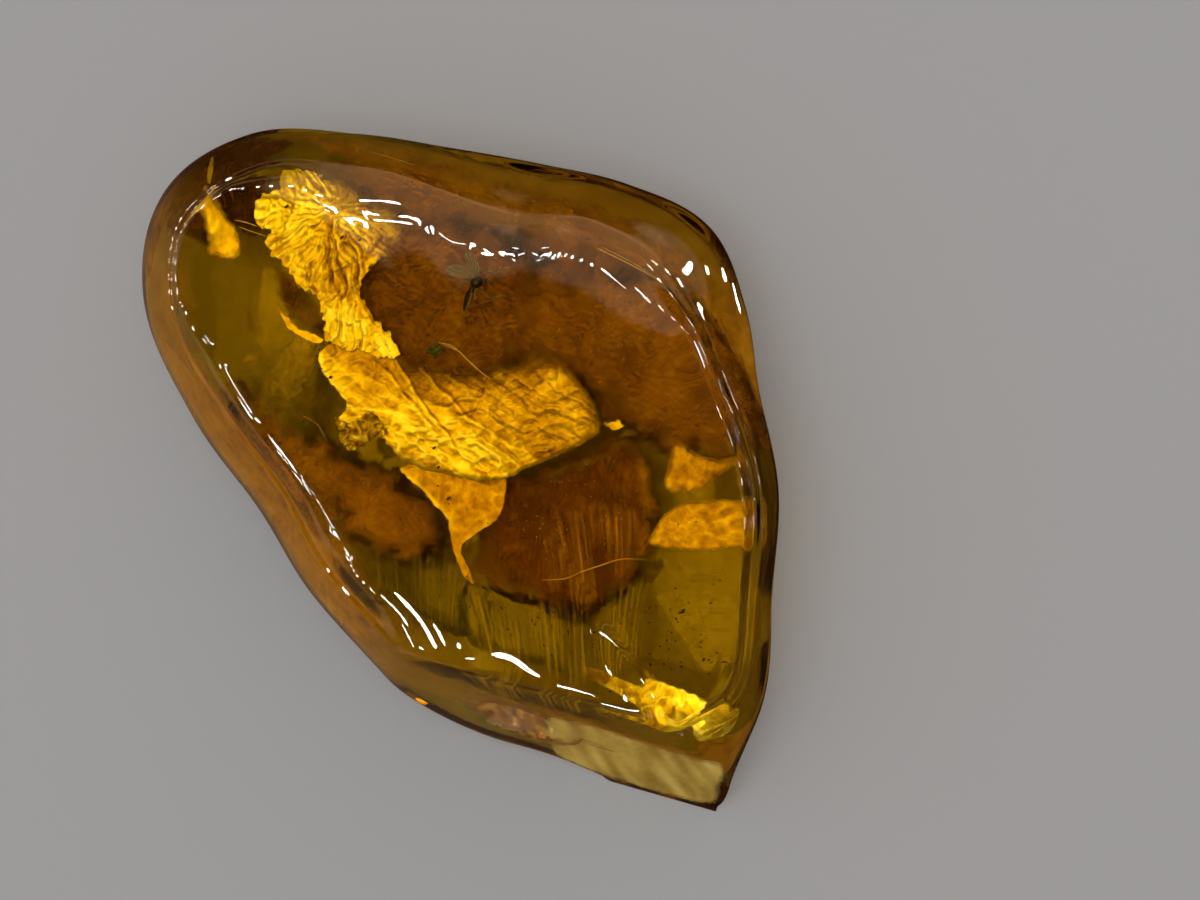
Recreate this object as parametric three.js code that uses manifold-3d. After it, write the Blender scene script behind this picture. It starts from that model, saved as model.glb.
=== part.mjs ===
// Insect in amber: the polished nugget that holds the fossil, as one solid.
// Seen from above it is a rounded wedge, broad at +Y and pointed at -Y, with a flat
// resting face, a domed and polished top, a broken facet along its narrow end and a
// small scooped chip beside that facet. Millimetres, +Z up. The origin is the middle
// of the bounding box, on the resting face.

import * as THREE from 'three';
import { mergeVertices } from 'three/addons/utils/BufferGeometryUtils.js';
import Module from 'manifold-3d';

// Driving dimensions
const LENGTH = 42.4; // along Y, from the pointed end to the broad end
const WIDTH = 27.2; // along X
const HEIGHT = 12; // from the resting face to the crown
const SHOULDER_BELOW_CROWN = 2.5; // drop from the crown to the shoulder line
const DOME_BELOW_CROWN = 1.35; // drop from the crown to where the dome starts to fall away
const DOME_MARGIN = 0.9; // least distance from the shoulder line in to that level

// Plan outline at the widest level: [degrees from +X, reach in mm]
const OUTLINE = [
  [0, 13.5], [20, 12.8], [40, 12.6], [60, 13.8], [76, 16.3], [90, 19.7], [104, 21.4],
  [118, 20.2], [136, 16.5], [156, 13.7], [178, 13.4], [200, 14.3], [221, 17.2], [234, 18.3],
  [246, 22.3], [252, 24.1], [259, 21.2], [270, 18.8], [284, 15.7], [302, 13.9], [322, 12.5],
  [341, 12.8],
];

// Height of that widest level above the resting face: [degrees, mm]
const WIDEST_LEVEL = [
  [0, 5.6], [90, 5], [180, 4.4], [240, 3.6], [262, 4], [310, 6.4],
];

// Shoulder line, measured in from the outline: [degrees, mm]
const SHOULDER_INSET = [
  [0, 3], [22, 2.6], [45, 3.2], [72, 2.6], [100, 3.3], [136, 3.3], [175, 2.6], [215, 3.1],
  [252, 4.4], [272, 1.1], [314, 0.9], [338, 1.9],
];

// Where the dome starts to fall away: [degrees from +X, reach in mm]
const DOME_LINE = [
  [0, 8.85], [20, 8.45], [38, 7.8], [52, 8.15], [64, 9.3], [78, 11.4], [88, 14.6], [97, 16.8],
  [106, 17.6], [114, 16.7], [121, 15], [127, 13.1], [137, 11.4], [152, 9.75], [172, 9],
  [188, 9.6], [209, 9.9], [230, 10.8], [244, 12.45], [254, 14.7], [261, 17.2], [270, 17.9],
  [277, 16.3], [290, 14.1], [303, 12.2], [321, 10.8], [340, 9.85],
];

// Edge of the resting face, measured in from the outline: [degrees, mm]
const BASE_INSET = [
  [0, 3.4], [100, 3.4], [180, 3], [215, 2], [236, 1.1], [256, 0.9], [276, 2.2], [310, 3.4],
];

// Broken facet: a plane that faces out and slightly up
const FACET_AZIMUTH = 212.7; // degrees from +X
const FACET_ELEVATION = 28; // degrees above level
const FACET_DISTANCE = 15.15; // from the origin, along its normal

// Scooped chip where the facet meets the rounded side: a ball that bites into the surface
const CHIP_RADIUS = 2.6;
const CHIP_CENTRE = new THREE.Vector3(-11.1, -12.2, 6);

// Fineness of the faceted solid
const SPOKES = 120;
const STEPS_PER_SPAN = 4;

// Value of a [degrees, value] table at any angle, on a smooth closed curve through its rows.
function around(table, degrees) {
  const count = table.length;
  let row = count - 1;
  while (row > 0 && table[row][0] > degrees) row -= 1;
  const at = (offset) => {
    const index = row + offset;
    const wrapped = ((index % count) + count) % count;
    return [table[wrapped][0] + 360 * Math.floor(index / count), table[wrapped][1]];
  };
  const [before, start, end, after] = [at(-1), at(0), at(1), at(2)];
  const span = end[0] - start[0];
  const slopeStart = (end[1] - before[1]) / (end[0] - before[0]);
  const slopeEnd = (after[1] - start[1]) / (after[0] - start[0]);
  const t = (degrees - start[0]) / span;
  const [t2, t3] = [t * t, t * t * t];
  return (2 * t3 - 3 * t2 + 1) * start[1]
    + (t3 - 2 * t2 + t) * span * slopeStart
    + (3 * t2 - 2 * t3) * end[1]
    + (t3 - t2) * span * slopeEnd;
}

// Half section of the pebble in one direction, from the resting face's edge to the crown:
// a list of [reach, height].
function halfSection(degrees) {
  const reach = around(OUTLINE, degrees);
  const widest = around(WIDEST_LEVEL, degrees);
  const base = around(BASE_INSET, degrees);
  const inset = around(SHOULDER_INSET, degrees);
  const shoulder = HEIGHT - SHOULDER_BELOW_CROWN;
  const dome = Math.min(around(DOME_LINE, degrees), reach - inset - DOME_MARGIN);
  const wall = shoulder - widest;
  const domeHeight = HEIGHT - DOME_BELOW_CROWN;
  const crownSide = HEIGHT - 0.22 * DOME_BELOW_CROWN;
  const knots = [
    [reach - base, 0],
    [reach - 0.32 * base, 0.36 * widest],
    [reach, widest],
    [reach - 0.34 * inset, widest + 0.5 * wall],
    [reach - 0.8 * inset, widest + 0.86 * wall],
    [reach - inset, shoulder],
    [reach - inset - 0.4, shoulder + 0.24],
    [dome, domeHeight],
    [0.52 * dome, crownSide],
    [0, HEIGHT],
    [-0.52 * dome, crownSide],
  ];
  const points = knots.map(([x, z]) => new THREE.Vector3(x, 0, z));
  const curve = new THREE.CatmullRomCurve3(points, false, 'centripetal');
  const spans = knots.length - 1;
  const section = [];
  for (let step = 0; step <= (spans - 1) * STEPS_PER_SPAN; step += 1) {
    const point = curve.getPoint(step / (spans * STEPS_PER_SPAN));
    section.push([point.x, point.z]);
  }
  return section;
}

// The unbroken pebble: a fan at the resting face, rings up the side and over the dome, and
// a fan at the crown.
function pebbleGeometry() {
  const positions = [];
  const triangles = [];
  const add = (point) => positions.push(point.x, point.y, point.z);
  const sections = [];
  for (let spoke = 0; spoke < SPOKES; spoke += 1) {
    sections.push(halfSection(360 * spoke / SPOKES));
  }
  const rings = sections[0].length - 1;
  for (let ring = 0; ring < rings; ring += 1) {
    for (let spoke = 0; spoke < SPOKES; spoke += 1) {
      const angle = 2 * Math.PI * spoke / SPOKES;
      const [reach, height] = sections[spoke][ring];
      add(new THREE.Vector3(reach * Math.cos(angle), reach * Math.sin(angle), height));
    }
  }
  const base = rings * SPOKES;
  const crown = base + 1;
  add(new THREE.Vector3(0, 0, 0));
  add(new THREE.Vector3(0, 0, HEIGHT));
  for (let spoke = 0; spoke < SPOKES; spoke += 1) {
    const next = (spoke + 1) % SPOKES;
    const top = (rings - 1) * SPOKES;
    triangles.push(base, next, spoke);
    triangles.push(crown, top + spoke, top + next);
    for (let ring = 0; ring < rings - 1; ring += 1) {
      const low = ring * SPOKES;
      const high = low + SPOKES;
      triangles.push(low + spoke, low + next, high + next);
      triangles.push(low + spoke, high + next, high + spoke);
    }
  }
  const geometry = new THREE.BufferGeometry();
  geometry.setAttribute('position', new THREE.Float32BufferAttribute(positions, 3));
  geometry.setIndex(triangles);
  return geometry;
}

// Everything beyond the facet's plane, as a block.
function beyondFacetGeometry() {
  const side = 4 * HEIGHT;
  const block = new THREE.BoxGeometry(side, side, side);
  block.translate(FACET_DISTANCE + side / 2, 0, 0);
  block.rotateY(-THREE.MathUtils.degToRad(FACET_ELEVATION));
  block.rotateZ(THREE.MathUtils.degToRad(FACET_AZIMUTH));
  return block;
}

// The ball that the chip was scooped by.
function chipGeometry() {
  const ball = new THREE.IcosahedronGeometry(CHIP_RADIUS, 4);
  ball.translate(CHIP_CENTRE.x, CHIP_CENTRE.y, CHIP_CENTRE.z);
  return ball;
}

// A three.js geometry as a solid that can be cut.
function solid(geometry) {
  geometry.deleteAttribute('normal');
  geometry.deleteAttribute('uv');
  const merged = mergeVertices(geometry);
  return new wasm.Manifold(new wasm.Mesh({
    numProp: 3,
    vertProperties: merged.attributes.position.array,
    triVerts: new Uint32Array(merged.index.array),
  }));
}

// The pebble less the facet and the chip, at its stated size and over the origin.
function nuggetGeometry() {
  const nugget = solid(pebbleGeometry())
    .subtract(solid(beyondFacetGeometry()))
    .subtract(solid(chipGeometry()));
  const { vertProperties, triVerts } = nugget.getMesh();
  const geometry = new THREE.BufferGeometry();
  geometry.setAttribute('position', new THREE.BufferAttribute(vertProperties, 3));
  geometry.setIndex(new THREE.BufferAttribute(triVerts, 1));
  geometry.computeBoundingBox();
  const box = geometry.boundingBox;
  const size = box.getSize(new THREE.Vector3());
  const middle = box.getCenter(new THREE.Vector3());
  geometry.translate(-middle.x, -middle.y, -box.min.z);
  geometry.scale(WIDTH / size.x, LENGTH / size.y, HEIGHT / size.z);
  geometry.computeVertexNormals();
  return geometry;
}

const wasm = await Module();
wasm.setup();

const amber = new THREE.MeshStandardMaterial({ color: '#b8790e', roughness: 0.05, metalness: 0 });

const nugget = new THREE.Mesh(nuggetGeometry(), amber);
nugget.name = 'amber_nugget';

const group = new THREE.Group();
group.add(nugget);

export default group;
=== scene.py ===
"""Insect in amber: a polished nugget with crack flakes, flow clouds, bubbles and a gnat sealed in it.

Metres, +Z up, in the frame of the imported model. Places inside the nugget are given in millimetres
as the viewer sees them from above: to the right, up the view, and height above the resting face.
"""

import math

import bmesh
import bpy
import numpy as np
from mathutils import Matrix, Vector, noise
from mathutils.bvhtree import BVHTree


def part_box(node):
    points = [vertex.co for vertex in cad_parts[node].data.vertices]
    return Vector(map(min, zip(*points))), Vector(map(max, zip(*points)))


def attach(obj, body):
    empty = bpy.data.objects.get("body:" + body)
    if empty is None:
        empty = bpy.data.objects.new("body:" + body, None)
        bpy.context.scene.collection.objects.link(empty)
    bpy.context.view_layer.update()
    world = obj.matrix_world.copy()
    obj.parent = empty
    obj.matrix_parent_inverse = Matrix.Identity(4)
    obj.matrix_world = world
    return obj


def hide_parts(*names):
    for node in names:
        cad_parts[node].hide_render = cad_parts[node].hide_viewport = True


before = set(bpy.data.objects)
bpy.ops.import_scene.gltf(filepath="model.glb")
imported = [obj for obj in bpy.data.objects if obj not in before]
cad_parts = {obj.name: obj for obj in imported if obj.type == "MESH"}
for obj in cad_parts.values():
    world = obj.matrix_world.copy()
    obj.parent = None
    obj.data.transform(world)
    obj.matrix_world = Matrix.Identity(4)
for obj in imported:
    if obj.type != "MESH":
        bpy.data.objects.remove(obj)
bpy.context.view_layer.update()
LOW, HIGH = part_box("amber_nugget")

MM = 0.001
SCENE = bpy.context.scene
FAR = 99.0  # mm, beyond everything
TINY = 1e-9  # keeps a divisor from being nothing

# The viewer stands so that the nugget's length runs from upper left to lower right.
VIEW_TURN = math.radians(42.5)
CAMERA_HEIGHT = 86.3  # mm above the resting face
CAMERA_NADIR = (10.7, -11.5)  # mm in the frame, the spot straight below the camera
CAMERA_LEAN = math.radians(8)
CAMERA_PLACE = Vector((*CAMERA_NADIR, CAMERA_HEIGHT)) * MM


# ------------------------------------------------------------------------------ places and curves


def seen(right, up, height):
    """A place in the frame, in metres, from millimetres right, up the view and above the floor."""
    turn_x, turn_y = math.cos(VIEW_TURN), math.sin(VIEW_TURN)
    x = right * turn_x + up * turn_y
    y = -right * turn_y + up * turn_x
    return Vector((x, y, height)) * MM


def viewed(x, y):
    """The (right, up) spot over a place in the frame, both in millimetres."""
    turn_x, turn_y = math.cos(VIEW_TURN), math.sin(VIEW_TURN)
    return np.array([x * turn_x - y * turn_y, x * turn_y + y * turn_x])


def hermite(t, start, start_slope, end, end_slope):
    """A cubic that leaves start and reaches end with the given slopes, for t from 0 to 1."""
    return (
        (2 * t**3 - 3 * t**2 + 1) * start
        + (t**3 - 2 * t**2 + t) * start_slope
        + (3 * t**2 - 2 * t**3) * end
        + (t**3 - t**2) * end_slope
    )


def around(table, degrees):
    """Values of a (degrees, value) table at any angles, on a smooth closed curve through its rows."""
    rows = np.array(table, float)
    knots = np.concatenate([rows[-2:, 0] - 360, rows[:, 0], rows[:3, 0] + 360])
    values = np.concatenate([rows[-2:, 1], rows[:, 1], rows[:3, 1]])
    slopes = (values[2:] - values[:-2]) / (knots[2:] - knots[:-2])
    turned = np.asarray(degrees, float) % 360
    row = np.clip(np.searchsorted(knots, turned, side="right") - 1, 1, len(knots) - 3)
    span = knots[row + 1] - knots[row]
    t = (turned - knots[row]) / span
    return hermite(t, values[row], span * slopes[row - 1], values[row + 1], span * slopes[row])


# ------------------------------------------------------------------------------ pieces


def new_piece(name, mesh):
    """A smooth-shaded object of a mesh, in the scene."""
    mesh.polygons.foreach_set("use_smooth", [True] * len(mesh.polygons))
    piece = bpy.data.objects.new(name, mesh)
    SCENE.collection.objects.link(piece)
    return piece


def add_values(mesh, label, values):
    """Gives each point of a mesh a number that a material can read."""
    attribute = mesh.attributes.new(label, "FLOAT", "POINT")
    attribute.data.foreach_set("value", values.astype(np.float32))


def add_sheet(name, points, quads, tone, cover, thickness=0.03):
    """A closed sheet, thickness mm through, with a tone and a cover from 0 to 1 at each point."""
    mesh = bpy.data.meshes.new(name)
    mesh.from_pydata(points, [], quads.tolist())
    add_values(mesh, "tone", np.clip(tone, 0, 1))
    add_values(mesh, "cover", np.clip(cover, 0, 1))
    piece = new_piece(name, mesh)
    wall = piece.modifiers.new("wall", "SOLIDIFY")
    wall.thickness = thickness * MM
    wall.offset = 0
    return piece


def settle(piece, material):
    """Gives a finished piece its material and the body that it moves with."""
    if material is not None:
        piece.data.materials.clear()
        piece.data.materials.append(material)
    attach(piece, "root")


# ------------------------------------------------------------------------------ the nugget

# These repeat the solid's own dimensions, in millimetres and degrees.
NUGGET_HEIGHT = 12
SHOULDER_BELOW_CROWN = 2.5
DOME_BELOW_CROWN = 1.35
DOME_MARGIN = 0.9  # least distance from the shoulder to the edge of the dome
OUTLINE = [
    (0, 13.5), (20, 12.8), (40, 12.6), (60, 13.8), (76, 16.3), (90, 19.7), (104, 21.4), (118, 20.2),
    (136, 16.5), (156, 13.7), (178, 13.4), (200, 14.3), (221, 17.2), (234, 18.3), (246, 22.3),
    (252, 24.1), (259, 21.2), (270, 18.8), (284, 15.7), (302, 13.9), (322, 12.5), (341, 12.8),
]
WIDEST_LEVEL = [(0, 5.6), (90, 5), (180, 4.4), (240, 3.6), (262, 4), (310, 6.4)]
SHOULDER_INSET = [
    (0, 3), (22, 2.6), (45, 3.2), (72, 2.6), (100, 3.3), (136, 3.3), (175, 2.6), (215, 3.1),
    (252, 4.4), (272, 1.1), (314, 0.9), (338, 1.9),
]
BASE_INSET = [
    (0, 3.4), (100, 3.4), (180, 3), (215, 2), (236, 1.1), (256, 0.9), (276, 2.2), (310, 3.4),
]
DOME_LINE = [
    (0, 8.85), (20, 8.45), (38, 7.8), (52, 8.15), (64, 9.3), (78, 11.4), (88, 14.6), (97, 16.8),
    (106, 17.6), (114, 16.7), (121, 15), (127, 13.1), (137, 11.4), (152, 9.75), (172, 9), (188, 9.6),
    (209, 9.9), (230, 10.8), (244, 12.45), (254, 14.7), (261, 17.2), (270, 17.9), (277, 16.3),
    (290, 14.1), (303, 12.2), (321, 10.8), (340, 9.85),
]
FACET_AZIMUTH, FACET_ELEVATION = math.radians(212.7), math.radians(28)
FACET_NORMAL = np.array([
    math.cos(FACET_ELEVATION) * math.cos(FACET_AZIMUTH),
    math.cos(FACET_ELEVATION) * math.sin(FACET_AZIMUTH),
    math.sin(FACET_ELEVATION),
])
FACET_DISTANCE = 15.15
CHIP_RADIUS = 2.6
CHIP_CENTRE = np.array([-11.1, -12.2, 6.0])
CORE = np.array([0, 0, 5.0])  # a point inside that sees the whole surface
FACET_ROUNDING = 0.035  # of the way from the core
CHIP_ROUNDING = 0.018
UNCUT = 9  # times the way from the core, where nothing cuts the pebble

# Unevenness of the polish, and more of it in the chip: fineness per mm and height in mm
POLISH_WAVES = ((0.23, 0.018), (0.6, 0.0015))
CHIP_WAVES = ((1.7, 0.09), (4.0, 0.05))
WAVES_START = 0.4  # mm above the resting face

SPOKES = 600
STEPS_PER_SPAN = 14
BASE_RINGS = 6


def half_sections(degrees):
    """Half sections of the pebble, from its resting edge to its crown: reach and height arrays."""
    reach = around(OUTLINE, degrees)
    widest = around(WIDEST_LEVEL, degrees)
    base = around(BASE_INSET, degrees)
    inset = around(SHOULDER_INSET, degrees)
    shoulder = NUGGET_HEIGHT - SHOULDER_BELOW_CROWN
    dome = np.minimum(around(DOME_LINE, degrees), reach - inset - DOME_MARGIN)
    wall = shoulder - widest
    crown_side = NUGGET_HEIGHT - 0.22 * DOME_BELOW_CROWN
    level = np.ones_like(reach)
    knots = np.array([
        [reach - base, 0 * level],
        [reach - 0.32 * base, 0.36 * widest],
        [reach, widest],
        [reach - 0.34 * inset, widest + 0.5 * wall],
        [reach - 0.8 * inset, widest + 0.86 * wall],
        [reach - inset, shoulder * level],
        [reach - inset - 0.4, (shoulder + 0.24) * level],
        [dome, (NUGGET_HEIGHT - DOME_BELOW_CROWN) * level],
        [0.52 * dome, crown_side * level],
        [0 * level, NUGGET_HEIGHT * level],
        [-0.52 * dome, crown_side * level],
    ])
    before = 2 * knots[0] - knots[1]
    knots = np.concatenate([before[None], knots])
    gaps = np.sqrt(np.linalg.norm(np.diff(knots, axis=0), axis=1))
    section = []
    for span in range(len(knots) - 3):
        p0, p1, p2, p3 = knots[span:span + 4]
        g0, g1, g2 = gaps[span:span + 3]
        m1 = (p1 - p0) / g0 - (p2 - p0) / (g0 + g1) + (p2 - p1) / g1
        m2 = (p2 - p1) / g1 - (p3 - p1) / (g1 + g2) + (p3 - p2) / g2
        for step in range(STEPS_PER_SPAN):
            section.append(hermite(step / STEPS_PER_SPAN, p1, m1 * g1, p2, m2 * g1))
    return np.array(section)


def soft_min(a, b, rounding):
    """The lesser of two arrays, with the corner between them rounded off."""
    overlap = np.maximum(rounding - np.abs(a - b), 0) / rounding
    return np.minimum(a, b) - overlap**2 * rounding / 4


def resting_edge(ring):
    """The edge of the resting face, cut straight where the facet runs out under the nugget."""
    reach = np.hypot(ring[:, 0], ring[:, 1])
    facing = ring[:, :2] @ FACET_NORMAL[:2] / reach
    limit = np.where(facing > 0.1, FACET_DISTANCE / np.maximum(facing, 0.1), FAR)
    return ring * np.minimum(limit / reach, 1)[:, None]


def after_breakage(points):
    """The pebble's points drawn back towards the core where the facet or the chip cuts them off.

    Also returns 1 for each point in the chip and 0 for the others.
    """
    ways = points - CORE
    approach = ways @ FACET_NORMAL
    faces = approach > 0.1
    gap = FACET_DISTANCE - FACET_NORMAL @ CORE
    facet = np.where(faces, gap / np.where(faces, approach, 1), UNCUT)
    share = soft_min(np.ones(len(points)), facet, FACET_ROUNDING)
    to_centre = CHIP_CENTRE - CORE
    length_sq = (ways**2).sum(1)
    along = ways @ to_centre / length_sq
    nearest = ways * along[:, None] - to_centre
    half_chord_sq = CHIP_RADIUS**2 - (nearest**2).sum(1)
    bites = (half_chord_sq > 0) & (along > 0)
    chip = np.where(bites, along - np.sqrt(np.maximum(half_chord_sq, 0) / length_sq), UNCUT)
    share = soft_min(share, chip, CHIP_ROUNDING)
    return CORE + ways * share[:, None], np.where(chip < 1 + CHIP_ROUNDING, 1.0, 0.0)


def build_nugget():
    """The stone: rings of points from the resting face up to the crown, fitted to the solid's box."""
    degrees = np.arange(SPOKES) * 360 / SPOKES
    angles = np.radians(degrees)
    rings = [
        np.stack([r * np.cos(angles), r * np.sin(angles), z], axis=1)
        for r, z in half_sections(degrees)
    ]
    upper, broken = after_breakage(np.concatenate(rings))
    upper[:SPOKES] = resting_edge(rings[0])
    base = [upper[:SPOKES] * (k / BASE_RINGS) for k in range(1, BASE_RINGS)]
    points = np.concatenate([*base, upper, [[0, 0, 0], [0, 0, NUGGET_HEIGHT]]])
    broken = np.concatenate([np.zeros(len(base) * SPOKES), broken, [0, 0]])
    for i, point in enumerate(points):
        if point[2] > WAVES_START:
            spot = Vector(point)
            waves = POLISH_WAVES + CHIP_WAVES if broken[i] else POLISH_WAVES
            drift = sum(noise.noise(spot * fineness) * height for fineness, height in waves)
            away = point - CORE
            points[i] = point + away / np.linalg.norm(away) * drift
    count = len(base) + len(rings)
    faces = []
    floor, crown = len(points) - 2, len(points) - 1
    top = (count - 1) * SPOKES
    for spoke in range(SPOKES):
        after = (spoke + 1) % SPOKES
        faces.append((floor, after, spoke))
        faces.append((crown, top + spoke, top + after))
        for low in range(0, top, SPOKES):
            high = low + SPOKES
            faces.append((low + spoke, low + after, high + after, high + spoke))
    least, most = points.min(0), points.max(0)
    points = (points - least) * (np.array(HIGH - LOW) / (most - least)) + np.array(LOW)
    mesh = bpy.data.meshes.new("amber_stone")
    mesh.from_pydata(points.tolist(), [], faces)
    add_values(mesh, "broken", broken)
    return new_piece("amber_stone", mesh)


# ------------------------------------------------------------------------------ patterns


BORDER_STEPS = 6  # between two corners of an outline


def smooth_border(points):
    """A closed smooth curve through (right, up) points, in millimetres."""
    corners = np.array(points, float)
    count = len(corners)
    border = []
    for i in range(count):
        p0, p1, p2, p3 = (corners[(i + k) % count] for k in (-1, 0, 1, 2))
        for step in range(BORDER_STEPS):
            border.append(hermite(step / BORDER_STEPS, p1, (p2 - p0) / 2, p2, (p3 - p1) / 2))
    return np.array(border)


def depth_inside(spots, border):
    """How far each spot lies inside the border (negative outside), and the way inwards."""
    ends = np.roll(border, -1, axis=0)
    edge = ends - border
    rel = spots[:, None] - border[None]
    along = np.clip((rel * edge).sum(2) / np.maximum((edge**2).sum(1), TINY), 0, 1)
    gaps = rel - along[..., None] * edge
    distance = np.linalg.norm(gaps, axis=2)
    nearest = distance.argmin(1)
    rows = np.arange(len(spots))
    gap, distance = gaps[rows, nearest], distance[rows, nearest]
    above = (border[None, :, 1] > spots[:, None, 1]) != (ends[None, :, 1] > spots[:, None, 1])
    rise = np.where(np.abs(edge[:, 1]) < TINY, TINY, edge[:, 1])
    crossing = border[None, :, 0] + (spots[:, None, 1] - border[None, :, 1]) * edge[:, 0] / rise
    inside = (above & (spots[:, None, 0] < crossing)).sum(1) % 2 == 1
    side = np.where(inside, 1.0, -1.0)
    inwards = side[:, None] * gap / np.maximum(distance, TINY)[:, None]
    return side * distance, inwards


def noise_at(spots, scale, seed=0.0, stretch=1.0, lean=0.0):
    """Smooth noise, about -1 to 1, at (right, up) spots; scale is its fineness per millimetre.

    With stretch above 1 its patches are drawn out along the direction lean, in degrees.
    """
    turn = math.radians(lean)
    along = (spots[:, 0] * math.cos(turn) + spots[:, 1] * math.sin(turn)) * scale / stretch
    across = (spots[:, 1] * math.cos(turn) - spots[:, 0] * math.sin(turn)) * scale
    return np.array([noise.noise(Vector((x, y, seed))) for x, y in zip(along, across)])


def layered(spots, *layers):
    """Noise of several finenesses added up, from (fineness, seed, share) layers."""
    return sum(share * noise_at(spots, scale, seed) for scale, seed, share in layers)


def drifting(spots, amount, scale, *seeds):
    """The spots moved about by up to amount millimetres, to make a pattern waver."""
    return spots + amount * np.stack([noise_at(spots, scale, seed) for seed in seeds], 1)


def rays(spots, focus, fineness, seed=0.0):
    """Fine lines of varied width that run out from a focus, -1 to 1."""
    away = spots - np.array(focus)
    reach = np.hypot(away[:, 0], away[:, 1])
    turn = np.arctan2(away[:, 1], away[:, 0]) + 0.12 * noise_at(spots, 0.8, seed)
    return 1.6 * noise_at(np.stack([fineness * turn, 0.45 * reach], 1), 1.0, seed + 3)


def feathers(spots, focus, count, length, seed=0.0):
    """Rows of overlapping lobes fanned out from a focus: -1 in the grooves to 1 at the lobes' tips, used as
    relief and as painted shade in the grooves and at the lobes' roots.
    """
    away = spots - np.array(focus)
    turn = np.arctan2(away[:, 1], away[:, 0]) + 0.16 * noise_at(spots, 0.7, seed)
    row_at = np.hypot(away[:, 0], away[:, 1]) / length + 0.6 * noise_at(spots, 0.45, seed + 1)
    row = np.floor(row_at)
    lobe = turn / (2 * math.pi) * count * (0.55 + 0.3 * row) + 0.37 * row
    lobe += 0.3 * noise_at(spots, 1.6, seed + 2)
    across = np.abs(lobe % 1 - 0.5) * 2
    along = np.clip(row_at - row - 0.3 * across**2, 0, 1)
    # Painted shade: darker in the grooves and at the roots of the lobes.
    shaded_groove = np.exp(-(((1 - across) / 0.25) ** 2))
    root = np.exp(-((along / 0.12) ** 2))
    return 1.2 * along**1.4 - 0.9 * shaded_groove - 0.4 * root


def crumple(spots, scale, seed, stretch=1.0, lean=0.0):
    """Creases of crumpled foil, 0 to 1, sharp along the crests."""
    bent = drifting(spots, 0.35 / scale, scale, seed + 11, seed + 17)
    return 1 - np.minimum(np.abs(noise_at(bent, scale, seed, stretch, lean)) * 3, 1)


def near_line(spots, line, width):
    """1 on a line through the given points, fading to 0 over width millimetres."""
    line = np.array(line, float)
    distance = np.full(len(spots), FAR)
    for start, end in zip(line[:-1], line[1:]):
        edge = end - start
        along = np.clip(((spots - start) @ edge) / (edge @ edge), 0, 1)
        gap = spots - start - along[:, None] * edge
        distance = np.minimum(distance, np.linalg.norm(gap, axis=1))
    return np.exp(-(distance / width) ** 2)


def near_spot(spots, spot, width):
    """1 on a spot, fading to 0 over width millimetres."""
    return np.exp(-((spots - np.array(spot)) ** 2).sum(1) / width**2)


def fade(value, start, end):
    """0 before start and 1 past end, with a soft step between them."""
    t = np.clip((value - start) / (end - start), 0, 1)
    return t * t * (3 - 2 * t)


def build_sheet(name, outline, shape, cell=0.05, ragged=0.1, thickness=0.03, seed=0.0):
    """A thin closed sheet with the given outline.

    shape(spots, rim) gives the level in mm, the tone and the cover, both 0 to 1, at spots that
    lie rim millimetres inside the border.
    """
    border = smooth_border(outline)
    low, high = border.min(0) - 2 * cell, border.max(0) + 2 * cell
    across = np.arange(low[0], high[0], cell)
    along = np.arange(low[1], high[1], cell)
    spots = np.stack(np.meshgrid(across, along, indexing="ij"), axis=-1).reshape(-1, 2)
    parts = [depth_inside(part, border) for part in np.array_split(spots, 1 + len(spots) // 4000)]
    rim = np.concatenate([part[0] for part in parts])
    inwards = np.concatenate([part[1] for part in parts])
    rim = rim + ragged * layered(spots, (1.1, seed, 1), (4.1, seed + 5, 0.8))
    grid = np.arange(len(spots)).reshape(len(across), len(along))
    quads = np.stack([grid[:-1, :-1], grid[1:, :-1], grid[1:, 1:], grid[:-1, 1:]], axis=-1)
    quads = quads.reshape(-1, 4)
    quads = quads[rim[quads].mean(1) > 0]
    used, quads = np.unique(quads, return_inverse=True)
    quads = quads.reshape(-1, 4)
    spots, rim, inwards = spots[used], rim[used], inwards[used]
    spots = spots + inwards * np.clip(-rim, 0, 0.7 * cell)[:, None]
    rim = np.maximum(rim, 0)
    levels, tone, cover = shape(spots, rim)
    points = [seen(x, y, z) for (x, y), z in zip(spots, levels)]
    return add_sheet(name, points, quads, tone, cover, thickness)


# ------------------------------------------------------------------------------ rods and beads


LEAST_RADIUS = 2e-6  # metres, at the pointed end of a rod


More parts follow.
